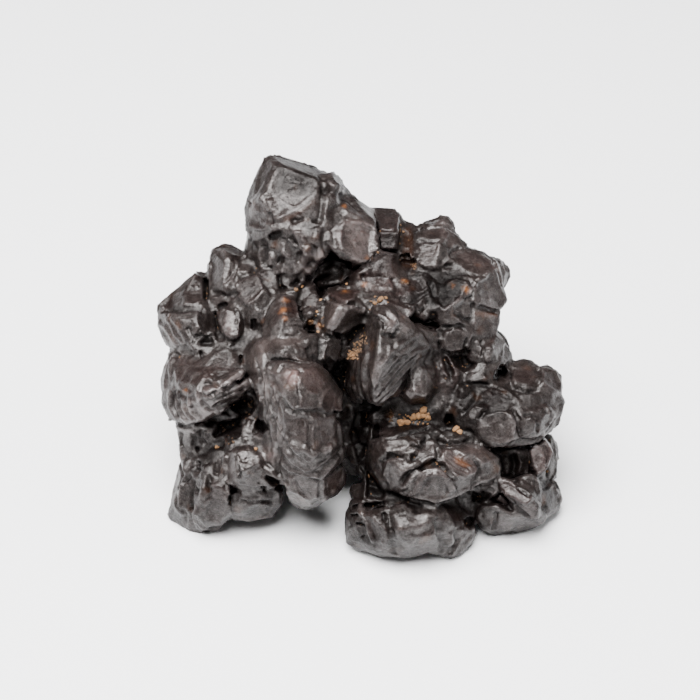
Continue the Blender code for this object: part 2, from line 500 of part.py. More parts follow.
GROUPS = [
    CROWN, RIGHT_BLOCKS, CENTRE, RIGHT_ARM, LOWER_LOBE,
    FRONT_FOOT, RIGHT_FOOT, LEFT_SIDE, LEFT_FOOT, FRONT_LOBE,
]

# Small angular knobs in the clefts, as (right, up, near, radius).
KNOBS = [
    (-8.1, 7.2, 7, 1.4), (-26.4, -16.6, 3.4, 1.6), (-19.4, -12, 5, 1.5), (5.4, -13.4, 4.4, 1.7),
    (8.4, -14.4, 5.4, 1.8), (32, -21.6, -4.4, 2), (3.4, -24, 1, 2), (1.4, -20.6, -1, 2.2),
    (3.6, -17, 1, 2.2), (1, -13.4, -1, 2.4), (22.6, -8.4, 5.4, 1.6),
]
KNOB_CORNERS = 9

# The core that the lumps stand out from, as outlines that each reach back by a depth.
CORE = [
    (18, [
        (-22, 6, 1), (-12, 14, 0), (-6, 6, 4), (-5, -4, 4), (-8, -22, 6), (-14, -21, 8), (-24, -12, 4),
        (-29, -4, 3), (-28, 4, 0),
    ]),
    (18, [
        (4, 5, 5), (2, 13, -5), (20, 15, -3), (25, 6, 0), (27, -8, 1), (28, -16, 4), (14, -24, 6),
        (8, -23, 5), (7, -8, 4), (12, -4, 7),
    ]),
    (16, [
        (-14, -16, -2), (-9, 8, 2), (2, 11, 1), (9, 4, 0), (10, -24, -2), (0, -25, -6), (-4, -22, -5),
    ]),
    (16, [
        (-34.6, -10, 1), (-21, -9, 4), (-14, -20, 6), (-14, -28, 4), (-22, -31, 4), (-33, -30, -1),
        (-33.6, -22, -3), (-33.4, -14, 0),
    ]),
    (16, [
        (12, -24, 8), (20, -31, 6), (26, -33, 3), (37, -31, -1), (39, -24, -8), (36, -12, -8), (27, -10, 2),
        (18, -20, 8), (25, -27, 5),
    ]),
    (13, [
        (-17, 16, -2), (-8, 14, 1), (-6, 19, -2), (4, 18, -6), (10, 24, -9), (0, 30, -7), (-6, 33, -6),
        (-15, 35, -6), (-19, 26, -5),
    ]),
    (16, [
        (4, -18, 6), (4.4, -26, 6), (2.4, -31, 6), (2, -37, 5), (8, -39, 8), (18, -39, 8), (22, -34, 6),
        (20, -26, 8), (12, -18, 8),
    ]),
    (16, [
        (-26, 6, 2), (-27, 16, -4), (-19, 17, -4), (-13, 12, 2), (-12, 4, 6), (-20, 0, 6), (-34, 6, -2),
        (-36, 2, -2),
    ]),
    (14, [
        (10, 22, -6), (22, 21, -6), (29, 16, -6), (30, 8, -3), (24, 3, 1), (12, 10, 2),
    ]),
]

# Rounded masses fill the middle and the underside: the place of each and its reach along x, y and z, in mm.
HEARTS = [
    ((0, 10, 23), (29, 15, 18)),
    ((-3, 10, 12), (22, 13, 9.5)),
    ((22, 4, 11), (14, 11, 8.5)),
    ((-22, 3, 11), (10, 10, 8.5)),
]
HEART_CORNERS = 40

# The side turned away from the eye repeats lumps of the near side: (lumps, turn, size, middle in mm).
FAR_SIDE = [
    (RIGHT_ARM, 170, 0.95, (-8.5, 22, 45)),
    (LEFT_SIDE, 185, 0.9, (15, 20, 31)),
    (RIGHT_BLOCKS, 172, 0.8, (-23, 14, 33)),
    (FRONT_LOBE, 176, 0.95, (-3, 20, 27)),
    (LOWER_LOBE, 195, 0.95, (23, 15, 18)),
    (CENTRE, 160, 0.8, (-19, 13, 19)),
    (RIGHT_FOOT, 165, 1.0, (-20, 12, 9)),
    (FRONT_FOOT, 182, 0.95, (2, 19, 8)),
    (LEFT_FOOT, 190, 0.95, (22, 13, 9)),
    (RIGHT_FOOT, 200, 0.8, (4, 23, 36)),
    (LOWER_LOBE, 150, 0.9, (-24, 8, 22)),
]


def picture(right, up, near):
    """A point laid out for the eye, as a place over the table in metres."""
    shrink = 1 - near / EYE_DISTANCE
    right *= shrink
    up *= shrink
    away = up * math.sin(EYE_TILT) - near * math.cos(EYE_TILT)
    height = up * math.cos(EYE_TILT) + near * math.sin(EYE_TILT) + MIDDLE_HEIGHT
    return Vector((right, away, height)) * MM


def add_hull(bm, points):
    """The convex hull of the points, as one more closed body."""
    corners = [bm.verts.new(point) for point in points]
    made = bmesh.ops.convex_hull(bm, input=corners)
    spare = set(made["geom_interior"] + made["geom_unused"])
    spare = [v for v in spare if isinstance(v, bmesh.types.BMVert) and not v.link_faces]
    bmesh.ops.delete(bm, geom=spare, context="VERTS")


def rooted(corners, depth=ROOT_DEPTH, share=ROOT_SHARE):
    """The corners of a lump, with a smaller copy of its front further back, in the core."""
    corners = [Vector(corner) for corner in corners]
    reach = sum(corner.z for corner in corners) / len(corners) - ROOT_REACH
    front = [corner for corner in corners if corner.z > reach]
    middle = sum(front, Vector()) / len(front)
    back = Vector((0, 0, -depth))
    return corners + [middle + (corner - middle) * share + back for corner in front]


def ball(middle, reach, count, turn):
    """Corners spread evenly over a ball, or over one that is stretched along the axes."""
    golden = math.pi * (3 - math.sqrt(5))
    for i in range(count):
        level = 1 - 2 * (i + 0.5) / count
        ring = math.sqrt(1 - level * level)
        angle = i * golden + turn
        unit = (ring * math.cos(angle), ring * math.sin(angle), level)
        yield tuple(m + r * k for m, r, k in zip(middle, reach, unit))


def stand(bm):
    """Cut the feet off flat at the table."""
    geom = bm.verts[:] + bm.edges[:] + bm.faces[:]
    down = (0, 0, -1)
    cut = bmesh.ops.bisect_plane(bm, geom=geom, plane_co=(0, 0, 0), plane_no=down, clear_outer=True)
    rim = [e for e in cut["geom_cut"] if isinstance(e, bmesh.types.BMEdge)]
    bmesh.ops.edgenet_fill(bm, edges=rim)


def mend(bm):
    """Take out the folded pairs of triangles that thinning leaves, and close up pinched edges."""
    for _ in range(MEND_ROUNDS):
        corners = {}
        for face in bm.faces:
            corners.setdefault(frozenset(v.index for v in face.verts), []).append(face)
        folded = [face for pair in corners.values() if len(pair) > 1 for face in pair]
        bmesh.ops.delete(bm, geom=folded, context="FACES")
        pinched = [edge for edge in bm.edges if len(edge.link_faces) > 2]
        if not folded and not pinched:
            return
        bmesh.ops.collapse(bm, edges=pinched)
        bmesh.ops.dissolve_degenerate(bm, edges=bm.edges, dist=FLAW * MM)
        bm.verts.index_update()


def keep_largest(bm):
    """Drop every closed shell but the one with the most faces: sealed bubbles and loose flakes."""
    seen = set()
    shells = []
    for start in bm.faces:
        if start in seen:
            continue
        shell = []
        waiting = [start]
        seen.add(start)
        while waiting:
            face = waiting.pop()
            shell.append(face)
            for edge in face.edges:
                for near in edge.link_faces:
                    if near not in seen:
                        seen.add(near)
                        waiting.append(near)
        shells.append(shell)
    shells.sort(key=len)
    spare = [v for shell in shells[:-1] for face in shell for v in face.verts]
    bmesh.ops.delete(bm, geom=list(set(spare)), context="VERTS")


def gather():
    """All lumps of the stone as one mesh of overlapping closed bodies."""
    bm = bmesh.new()
    for group in GROUPS:
        for corners in group.values():
            add_hull(bm, [picture(*corner) for corner in rooted(corners)])
    for right, up, near, radius in KNOBS:
        corners = ball((right, up, near), (radius,) * 3, KNOB_CORNERS, right + up)
        add_hull(bm, [picture(*corner) for corner in rooted(corners)])
    for depth, outline in CORE:
        add_hull(bm, [picture(*corner) for corner in rooted(outline, depth, CORE_TAPER)])
    for middle, reach in HEARTS:
        add_hull(bm, [Vector(corner) * MM for corner in ball(middle, reach, HEART_CORNERS, 0)])
    for group, turn, size, middle in FAR_SIDE:
        lumps = [[picture(*corner) for corner in rooted(corners)] for corners in group.values()]
        centre = sum((sum(lump, Vector()) / len(lump) for lump in lumps), Vector()) / len(lumps)
        place = Matrix.Translation(Vector(middle) * MM) @ Matrix.Rotation(math.radians(turn), 4, "Z")
        place = place @ Matrix.Scale(size, 4) @ Matrix.Translation(-centre)
        for lump in lumps:
            add_hull(bm, [place @ corner for corner in lump])
    bmesh.ops.recalc_face_normals(bm, faces=bm.faces)
    mesh = bpy.data.meshes.new("lumps")
    bm.to_mesh(mesh)
    bm.free()
    return mesh


def shaped(stone):
    """The mesh of the stone as its modifiers leave it."""
    depsgraph = bpy.context.evaluated_depsgraph_get()
    return bpy.data.meshes.new_from_object(stone.evaluated_get(depsgraph))


def add_fuse(stone, name):
    """Melt overlapping bodies into one skin of small even squares."""
    fuse = stone.modifiers.new(name, "REMESH")
    fuse.mode = "VOXEL"
    fuse.voxel_size = GRAIN * MM
    fuse.adaptivity = 0


def fused(lumps):
    """One skin around the lumps, with their narrowest clefts filled, their edges worn, and thinned out."""
    stone = bpy.data.objects.new("limonite_concretion", lumps)
    bpy.context.scene.collection.objects.link(stone)
    add_fuse(stone, "fuse")
    fill = stone.modifiers.new("fill", "DISPLACE")
    fill.mid_level = 0
    fill.strength = FILL * MM
    add_fuse(stone, "settle")
    wear = stone.modifiers.new("wear", "SMOOTH")
    wear.iterations = WORN_ROUNDS
    skin = shaped(stone)
    stone.modifiers.clear()
    stone.data = skin
    thin = stone.modifiers.new("thin", "DECIMATE")
    thin.ratio = FACE_COUNT / sum(len(face.vertices) - 2 for face in skin.polygons)
    stone.data = shaped(stone)
    stone.modifiers.clear()
    bpy.data.meshes.remove(lumps)
    bpy.data.meshes.remove(skin)
    return stone


def centre(bm):
    """Move the stone so that the middle of its outline on the table is at the origin."""
    lows = [min(v.co[axis] for v in bm.verts) for axis in range(2)]
    highs = [max(v.co[axis] for v in bm.verts) for axis in range(2)]
    shift = [-(low + high) / 2 for low, high in zip(lows, highs)]
    bmesh.ops.translate(bm, verts=bm.verts, vec=(*shift, 0))


def clean(mesh):
    """Leave one closed shell of triangles with flat feet, over the origin."""
    bm = bmesh.new()
    bm.from_mesh(mesh)
    mend(bm)
    stand(bm)
    keep_largest(bm)
    bmesh.ops.triangulate(bm, faces=bm.faces)
    centre(bm)
    bm.to_mesh(mesh)
    bm.free()


def limonite():
    """Dark brown iron oxide with the soft sheen of a rubbed surface."""
    material = bpy.data.materials.new("limonite")
    material.use_nodes = True
    surface = material.node_tree.nodes["Principled BSDF"]
    surface.inputs["Base Color"].default_value = LIMONITE_COLOUR
    surface.inputs["Roughness"].default_value = LIMONITE_ROUGHNESS
    surface.inputs["Metallic"].default_value = 0.0
    return material


for leftover in list(bpy.data.objects):
    bpy.data.objects.remove(leftover)
concretion = fused(gather())
clean(concretion.data)
concretion.data.name = concretion.name
concretion.data.materials.append(limonite())
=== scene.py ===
import math
import random

import bmesh
import bpy
import numpy as np
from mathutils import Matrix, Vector, kdtree, noise
from mathutils.bvhtree import BVHTree


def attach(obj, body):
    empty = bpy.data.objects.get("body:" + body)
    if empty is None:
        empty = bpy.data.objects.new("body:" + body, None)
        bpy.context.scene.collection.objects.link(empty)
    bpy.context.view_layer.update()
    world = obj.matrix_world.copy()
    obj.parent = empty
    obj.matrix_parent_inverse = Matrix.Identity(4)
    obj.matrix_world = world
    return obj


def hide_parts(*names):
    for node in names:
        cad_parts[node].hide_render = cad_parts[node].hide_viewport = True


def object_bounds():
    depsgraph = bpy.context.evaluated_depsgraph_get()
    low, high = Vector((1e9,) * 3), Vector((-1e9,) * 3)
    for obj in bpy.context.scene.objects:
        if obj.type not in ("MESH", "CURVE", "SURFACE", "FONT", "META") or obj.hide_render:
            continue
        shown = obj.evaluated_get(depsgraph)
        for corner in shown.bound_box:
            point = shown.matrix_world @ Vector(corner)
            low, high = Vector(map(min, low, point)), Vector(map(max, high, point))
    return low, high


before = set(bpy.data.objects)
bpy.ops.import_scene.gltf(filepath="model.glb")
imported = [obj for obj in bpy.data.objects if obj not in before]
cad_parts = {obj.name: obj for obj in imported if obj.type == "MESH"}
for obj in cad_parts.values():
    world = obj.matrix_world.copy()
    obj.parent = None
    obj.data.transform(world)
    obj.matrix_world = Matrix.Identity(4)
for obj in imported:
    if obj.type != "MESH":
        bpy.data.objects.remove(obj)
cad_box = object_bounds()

MM = 0.001

# The eye
# The stone is seen from a little above, as in the photograph. The same eye
# lays out the marks on the stone: a place is (right, up) in mm from the
# middle of the view.
EYE_TARGET = Vector((-2.03, -0.28, 30)) * MM
EYE_DISTANCE = 390 * MM
EYE_TILT = math.radians(35)
VIEW_WIDTH = 140 * MM
SENSOR = 36

EYE = EYE_TARGET + Vector((0, -math.cos(EYE_TILT), math.sin(EYE_TILT))) * EYE_DISTANCE
EYE_RIGHT = Vector((1, 0, 0))
EYE_UP = Vector((0, math.sin(EYE_TILT), math.cos(EYE_TILT)))
TO_EYE = np.array((EYE - EYE_TARGET).normalized())

lens = bpy.data.cameras.new("eye")
lens.sensor_width = SENSOR
lens.lens = SENSOR * EYE_DISTANCE / VIEW_WIDTH
lens.clip_start = 10 * MM
lens.clip_end = 5
camera = bpy.data.objects.new("eye", lens)
camera.location = EYE
camera.rotation_euler = (math.pi / 2 - EYE_TILT, 0, 0)
bpy.context.scene.collection.objects.link(camera)
bpy.context.scene.camera = camera


# Stone
# The limonite grew as one piece. Its skin starts from the solid: a fine even
# net is drawn over it and its edges are crisped. Then its crystal faces, clefts
# and growth lines are cut into it, and each mark also says how pale, brown or
# rusty the skin is there; the paleness is partly the stone's own tone and partly
# painted light and painted shade.
NET = 0.33 * MM
WEAR_ROUNDS = 2
CRISP_ROUNDS = 18
CRISP = 0.9


def copy_of(node, name):
    """A welded copy of a node's mesh, as an object of its own."""
    mesh = node.data.copy()
    mesh.name = name
    mesh.materials.clear()
    bm = bmesh.new()
    bm.from_mesh(mesh)
    bmesh.ops.remove_doubles(bm, verts=bm.verts, dist=0.001 * MM)
    bm.to_mesh(mesh)
    bm.free()
    piece = bpy.data.objects.new(name, mesh)
    bpy.context.scene.collection.objects.link(piece)
    return piece


def apply_modifiers(piece):
    """Turn the piece's modifiers into mesh."""
    depsgraph = bpy.context.evaluated_depsgraph_get()
    mesh = bpy.data.meshes.new_from_object(piece.evaluated_get(depsgraph))
    old = piece.data
    piece.modifiers.clear()
    piece.data = mesh
    mesh.name = piece.name
    bpy.data.meshes.remove(old)


def points_of(mesh):
    """The mesh's points as rows of numbers."""
    flat = np.empty(len(mesh.vertices) * 3)
    mesh.vertices.foreach_get("co", flat)
    return flat.reshape(-1, 3)


def normals_of(mesh):
    """The mesh's point normals as rows of numbers."""
    flat = np.empty(len(mesh.vertices) * 3, dtype=np.float32)
    mesh.vertex_normals.foreach_get("vector", flat)
    return flat.reshape(-1, 3).astype(float)


def move_points(mesh, points):
    mesh.vertices.foreach_set("co", points.ravel())
    mesh.update()


def edges_of(mesh):
    flat = np.empty(len(mesh.edges) * 2, dtype=np.int64)
    mesh.edges.foreach_get("vertices", flat)
    return flat.reshape(-1, 2)


def softened(values, edges, rounds):
    """Values averaged with their neighbours, round after round."""
    count = len(values)
    ends = np.concatenate([edges[:, 0], edges[:, 1]])
    others = np.concatenate([edges[:, 1], edges[:, 0]])
    share = np.bincount(ends, minlength=count).astype(float)
    columns = values.reshape(count, -1).copy()
    for _ in range(rounds):
        for k in range(columns.shape[1]):
            mean = np.bincount(ends, columns[others, k], minlength=count) / share
            columns[:, k] = (columns[:, k] + mean) / 2
    return columns.reshape(values.shape)


def tree_of(points, mesh):
    """A search tree of the mesh's faces, with its points at the given places."""
    return BVHTree.FromPolygons([tuple(p) for p in points], [tuple(f.vertices) for f in mesh.polygons])


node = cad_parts["limonite_concretion"]
stone = copy_of(node, "limonite_stone")
net = stone.modifiers.new("net", "REMESH")
net.mode = "VOXEL"
net.voxel_size = NET
wear = stone.modifiers.new("wear", "SMOOTH")
wear.factor = 0.5
wear.iterations = WEAR_ROUNDS
apply_modifiers(stone)

skin = points_of(stone.data)
edges = edges_of(stone.data)
outward = normals_of(stone.data)
soft = softened(skin, edges, CRISP_ROUNDS)
swell = np.einsum("ij,ij->i", skin - soft, outward)
skin = skin + outward * (np.clip(swell * CRISP, -0.5 * MM, 0.3 * MM))[:, None]
move_points(stone.data, skin)
outward = normals_of(stone.data)
skin_tree = tree_of(skin, stone.data)
pale = np.zeros(len(skin))
warm = np.zeros(len(skin))
rust = np.zeros(len(skin))
lift = np.zeros(len(skin))


def seen(right, up):
    """Where the eye meets the skin at (right, up) mm in its view, or None."""
    through = EYE_TARGET + EYE_RIGHT * (right * MM) + EYE_UP * (up * MM)
    return skin_tree.ray_cast(EYE, (through - EYE).normalized())[0]


def in_view(points):
    """Each point's (right, up) in the eye's view in mm."""
    gap = points - np.array(EYE)
    scale = EYE_DISTANCE / (gap @ -TO_EYE) / MM
    return gap @ np.array(EYE_RIGHT) * scale, gap @ np.array(EYE_UP) * scale


view_right, view_up = in_view(skin)
facing = np.einsum("ij,ij->i", outward, np.array(EYE) - skin) > 0
shown = np.zeros(len(skin), dtype=bool)
for i in np.flatnonzero(facing):
    target = Vector(skin[i])
    hit = skin_tree.ray_cast(EYE, (target - EYE).normalized())[0]
    shown[i] = hit is None or (hit - EYE).length > (target - EYE).length - 0.8 * MM


def inside(outline, soft_rim):
    """The shown skin inside an outline of (right, up), and how far in it is, from 0 at the rim to 1."""
    corners = np.array(outline, dtype=float)
    low, high = corners.min(axis=0), corners.max(axis=0)
    close = np.flatnonzero(shown & (view_right > low[0]) & (view_right < high[0])
                           & (view_up > low[1]) & (view_up < high[1]))
    x, y = view_right[close], view_up[close]
    within = np.zeros(len(close), dtype=bool)
    rim = np.full(len(close), 1e9)
    for (a, b), (c, d) in zip(corners, np.roll(corners, -1, axis=0)):
        crosses = (b > y) != (d > y)
        within ^= crosses & (x < (c - a) * (y - b) / ((d - b) or 1e-9) + a)
        length = (c - a) ** 2 + (d - b) ** 2
        t = np.clip(((x - a) * (c - a) + (y - b) * (d - b)) / length, 0, 1)
        rim = np.minimum(rim, np.hypot(x - a - t * (c - a), y - b - t * (d - b)))
    return close[within], np.clip(rim[within] / soft_rim, 0, 1)


def stain(outline, shade=0.0, warmth=0.0, iron=0.0, rim=0.7):
    """Make the skin inside an outline paler or darker, browner or rustier."""
    close, share = inside(outline, rim)
    pale[close] += shade * share
    warm[close] += warmth * share
    rust[close] += iron * share


def calm(outline, rim=1.0):
    """Smooth away the lumps inside an outline."""
    close, share = inside(outline, rim)
    skin[close] += (calm_skin[close] - skin[close]) * share[:, None]


def facet(outline, lean=(0, 0), shade=0.0, warmth=0.0, rim=0.35, reach=1.5):
    """Flatten the skin inside an outline to one crystal face, which may lean right and up; its shade paints the face
    paler or darker, partly the stone's own tone and partly painted light and painted shade.
    """
    close, share = inside(outline, rim)
    if len(close) < 12:
        return
    points = skin[close]
    middle = points.mean(axis=0)
    normal = np.linalg.svd(points - middle, full_matrices=False)[2][2]
    if normal @ TO_EYE < 0:
        normal = -normal
    normal = normal + lean[0] * np.array(EYE_RIGHT) + lean[1] * np.array(EYE_UP)
    normal /= np.linalg.norm(normal)
    off = np.clip((points - middle) @ normal, -reach * MM, reach * MM)
    skin[close] -= (off * share)[:, None] * normal
    pale[close] += shade * share
    warm[close] += warmth * share


def hollow(outline, depth=2.0, shade=-0.6, rim=0.8):
    """Press the skin inside an outline back from the eye, into a cleft darkened by painted shade."""
    close, share = inside(outline, rim)
    share = share * share * (3 - 2 * share)
    skin[close] -= (depth * MM * share)[:, None] * TO_EYE
    pale[close] += shade * share


def fill(outline, depth, shade=0.0, warmth=0.0, rim=0.8):
    """Bring skin inside an outline forward where it lies deeper than depth mm toward the eye; its shade makes that skin
    paler or darker as painted light and shade.
    """
    close, share = inside(outline, rim)
    share = share * share * (3 - 2 * share)
    gap = depth * MM - (skin[close] - np.array(EYE_TARGET)) @ TO_EYE
    share = share * (gap > 0)
    skin[close] += (gap * share)[:, None] * TO_EYE
    pale[close] += shade * share
    warm[close] += warmth * share


def ease(outline, rounds=30, rim=1.2):
    """Round off the steps that other marks left inside an outline."""
    close, share = inside(outline, rim)
    skin[close] += (softened(skin, edges, rounds)[close] - skin[close]) * share[:, None]


def along(path, step=0.25):
    """Points along a path of (right, up), one every step mm."""
    for (a, b), (c, d) in zip(path, path[1:]):
        count = max(1, round(math.hypot(c - a, d - b) / step))
        for i in range(count):
            yield a + (c - a) * i / count, b + (d - b) * i / count
    yield path[-1]


def near_path(path, reach):
    """The skin near a path, its distance from it, on which side it lies, and 0 to 1 along it."""
    hits = [seen(*place) for place in along(path)]
    hits = [hit for hit in hits if hit is not None]
    if len(hits) < 2:
        return None
    line = np.array([tuple(hit) for hit in hits])
    across = np.cross(np.gradient(line, axis=0), np.array(EYE) - line)
    across /= np.linalg.norm(across, axis=1, keepdims=True) + 1e-12
    low = line.min(axis=0) - reach
    high = line.max(axis=0) + reach
    close = np.flatnonzero(((skin > low) & (skin < high)).all(axis=1))
    if len(close) == 0:
        return None
    gap = skin[close][:, None, :] - line[None, :, :]
    span = np.einsum("ijk,ijk->ij", gap, gap)
    nearest = span.argmin(axis=1)
    rows = np.arange(len(close))
    distance = np.sqrt(span[rows, nearest])
    side = np.einsum("ij,ij->i", gap[rows, nearest], across[nearest])
    at = nearest / (len(line) - 1)
    within = distance < reach
    return close[within], distance[within], side[within], at[within]


def fade(at, ends=0.12):
    """1 along a path, falling to 0 at its two ends."""
    return np.clip(np.minimum(at, 1 - at) / ends, 0, 1) ** 0.5


def ridge(path, width=1.0, height=0.3, shine=0.15):
    """A crisp raised edge, its shine painting a paler line along it: a painted highlight."""
    width *= 1.4
    found = near_path(path, width * MM)
    if found is not None:
        close, distance, side, at = found
        rise = (1 - distance / (width * MM)) ** 1.3 * fade(at)
        lift[close] += 1.15 * height * MM * rise
        pale[close] += shine * rise


def groove(path, width=0.7, depth=0.5, shade=-0.3):
    """A narrow cleft, its colour darkened by painted shade."""
    width *= 1.5
    found = near_path(path, width * MM)
    if found is not None:
        close, distance, side, at = found
        fall = (1 - (distance / (width * MM)) ** 2) ** 2 * fade(at)
        lift[close] -= 1.5 * depth * MM * fall
        pale[close] += shade * fall


def ledge(path, width=1.6, height=0.35, shine=0.1, brow=0.45):
    """A growth step: left of the path the skin rises towards it, and past it the skin drops; its shine is a painted
    highlight on the rise.
    """
    found = near_path(path, width * MM)
    if found is not None:
        close, distance, side, at = found
        rise = np.clip(1 - distance / (width * MM), 0, 1)
        drop = np.where(side > 0, np.clip(1 - side / (brow * MM), 0, 1), 1)
        lift[close] += 1.5 * height * MM * rise * drop * fade(at)
        pale[close] += shine * rise ** 3 * drop * fade(at)


def steps(path, shift, count, width=1.6, height=0.35):
    """Ledges one after another, each shifted by (right, up) from the last."""
    for i in range(count):
        ledge([(a + shift[0] * i, b + shift[1] * i) for a, b in path], width, height)


def bump(right, up, radius=0.9, height=0.4, shade=0.0):
    """A small rounded swelling, or a hollow where height is below 0; its shade is a painted highlight, or painted shade
    where it is below 0.
    """
    hit = seen(right, up)
    if hit is None:
        return
    distance = np.linalg.norm(skin - np.array(hit), axis=1) / (radius * MM)
    close = distance < 1
    rise = (1 - distance[close] ** 2) ** 2
    lift[close] += height * MM * rise
    pale[close] += shade * rise


def field(size, seed):
    """Smooth noise over the stone, from about -1 to 1, with features of size mm."""
    shift = Vector((seed * 7.3, seed * 3.1, seed * 5.7))
    scale = 1 / (size * MM)
    return np.array([noise.noise(Vector(p) * scale + shift) for p in skin])


# All over, the rounded lumps are made of small flat faces.
FACE_SPREAD = 450
FACE_TURN = 5 * MM
FACE_RIM = 0.5 * MM


def cut_faces(count, strength):
    """Flatten the skin to many small faces, each round one chosen point and turned its way."""
    chosen = random.Random(3).sample(range(len(skin)), count)
    spots = skin + outward * FACE_TURN
    seeds = kdtree.KDTree(count)
    for k, i in enumerate(chosen):
        seeds.insert(spots[i], k)
    seeds.balance()
    owner = np.empty(len(skin), dtype=int)
    lead = np.empty(len(skin))
    for i, spot in enumerate(spots):
        first, second = seeds.find_n(spot, 2)
        owner[i] = first[1]
        lead[i] = second[2] - first[2]
    share = np.clip(lead / FACE_RIM, 0, 1) * np.where(shown, strength / 2, strength)
    order = np.argsort(owner, kind="stable")
    starts = np.searchsorted(owner[order], np.arange(count + 1))
    for k in range(count):
        close = order[starts[k]:starts[k + 1]]
        if len(close) < 20:
            continue
        points = skin[close]
        middle = points.mean(axis=0)
        normal = np.linalg.svd(points - middle, full_matrices=False)[2][2]
        off = np.clip((points - middle) @ normal, -0.6 * MM, 0.6 * MM)
        skin[close] -= (off * share[close])[:, None] * normal


cut_faces(FACE_SPREAD, 0.7)
calm_skin = softened(skin, edges, 160)

# The clefts and the crystal faces that the eye sees.
# Crown.
calm([(-19.6, 21), (-14, 22.4), (-9, 21), (-7, 17), (-9, 12.4), (-14, 11), (-18.6, 15)], 1.4)
facet([(-14, 37.6), (-16.4, 34.4), (-18.8, 31), (-19.6, 29.8), (-18.4, 35), (-16.4, 38.2)], (-0.25, 0), -0.2)
facet([(-13.6, 37), (-10.4, 35.6), (-6.8, 34.2), (-6.8, 32.4), (-9.2, 29.8), (-11, 28.6), (-14.4, 30.4),
       (-16, 33.6)], (0, -0.05), -0.1, 0.3)
facet([(-20.3, 29.9), (-19.4, 29.8), (-18.6, 27.9), (-20.2, 27.6)], (0, 0.4), 0.4)
facet([(-18.6, 30), (-15, 30.6), (-14, 26), (-16.4, 24.2), (-20.2, 24.6), (-19.8, 27.4)], (-0.1, -0.15), -0.05, 0.3)
facet([(-10.6, 27.6), (-9, 28.8), (-7.3, 30.2), (-6.4, 31.8), (-6.2, 29.4), (-7, 26.4), (-8.8, 26)], (0.2, -0.1), -0.1,
      0.4)
facet([(-17.6, 31.4), (-16, 30.4), (-15.4, 28), (-16.4, 27.4), (-17.8, 29.6)], (0.2, 0.2), 0.35)
facet([(-10.4, 32.2), (-9, 31.6), (-8.4, 30.2), (-9.6, 30.6)], (0.2, 0.2), 0.3)
facet([(-13.4, 32), (-11.6, 32.2), (-11.4, 31), (-13, 30.4)], (0.1, 0.25), 0.3)
facet([(-11.8, 24), (-9, 23.8), (-7.4, 20.4), (-9.8, 20.2), (-10.6, 21.8)], (0.25, -0.1), 0.1, 0.4)
facet([(-1.6, 25.8), (2.6, 25.4), (4.9, 24.6), (5.6, 22.4), (5.4, 19.8), (3.8, 17.6), (1.2, 17.4), (-1.8, 19),
       (-3, 21.4), (-2.6, 24)], (0.05, 0.1), 0.15, 0.3, 0.5, 3)
facet([(4.3, 25), (5.4, 24), (5.5, 20), (4.6, 19.2)], (0.2, 0.1), 0.3)
hollow([(9.6, 20), (12.6, 20.4), (13.6, 18.4), (12.4, 17), (9.8, 17.4)], -1.8, 0.2)
fill([(0.2, 12.2), (-0.4, 17), (-0.4, 19.4), (5.4, 20.4), (9.4, 19.6), (9.8, 16), (9, 12)], 5, -0.1, 0.5)
fill([(5.2, 19.4), (5.2, 26), (9, 26), (10.2, 24), (9.8, 19.6)], 1.2, 0, 0.3)
fill([(-7.4, 12), (-7, 16.8), (-4, 19), (0, 18.2), (0.8, 12.4)], 3, 0.2, rim=1.6)
ease([(-8, 11.6), (-8, 17), (-4, 20), (-0.4, 17), (4, 16.6), (6.6, 19), (10.4, 19.6), (10.4, 11.6)], 40)
facet([(-0.4, 27.4), (3, 25.9), (4.8, 24.8), (2.6, 25.3), (-1.4, 25.7)], (0, 0.35), 0.1)
facet([(-4.6, 24.6), (-1.4, 25.4), (-2, 22), (-2.8, 21.4)], (-0.25, 0.1), 0.25, 0.3)
facet([(5.4, 27.6), (9, 27.4), (10, 25.8), (9.4, 23), (5.4, 22)], (0.1, -0.2), -0.1, 0.4)
for outline, depth in (([(-16.8, 22.6), (-15.6, 24), (-14, 24.2), (-13.4, 23), (-14.6, 21.8), (-16, 21.6)], 0.9),
                       ([(-12.8, 23.8), (-11.2, 23), (-10, 21.6), (-10.2, 20.4), (-11.6, 20.8), (-12.6, 22)], 0.9),
                       ([(-15, 18.8), (-13.4, 19), (-12.6, 17.8), (-13.6, 16.8), (-15, 17)], 0.8),
                       ([(-16.6, 17.2), (-15, 17), (-15.2, 15.8), (-16.4, 16)], 0.6),
                       ([(-11.4, 19.4), (-9.8, 19.8), (-9.6, 17.6), (-10.8, 17.2)], 0.8)):
    hollow(outline, depth, -0.35, 0.9)
for outline in ([(-16.4, 20.4), (-15, 20.6), (-14.8, 18.6), (-16, 16.6), (-16.8, 18)],
                [(-14, 22.4), (-12.8, 22), (-12.4, 19.6), (-11.4, 18.4), (-13.4, 18.6)],
                [(-14, 15.4), (-13.2, 17), (-11, 17), (-10, 15.4), (-12, 14.6)],
                [(-10, 22), (-8.4, 21), (-8.2, 18.4), (-9.4, 18.6)],
                [(-18.2, 21.6), (-17.2, 21.2), (-17.4, 17.8), (-18.2, 17.8)]):
    facet(outline, (0.15, 0.35), 0.35, 0, 0.5)
hollow([(-14.8, 15), (-13.8, 15), (-13.4, 13.2), (-12, 12.4), (-13.6, 11), (-14.6, 12)], 1.6, -0.7)
hollow([(-12, 13.4), (-10.4, 14.8), (-9.4, 13.6), (-10.6, 12.6), (-12, 12.6)], 1.3, -0.7)
hollow([(-9, 15.2), (-8, 15.6), (-7.4, 14.6), (-8, 13.2), (-9, 14)], 0.8, -0.4)
hollow([(-7, 16.4), (-4, 18.4), (-1, 17.4), (0.4, 15), (-1, 13.2), (-5, 12.4), (-6.6, 13.6)], 1.6, -0.3, 1.2)

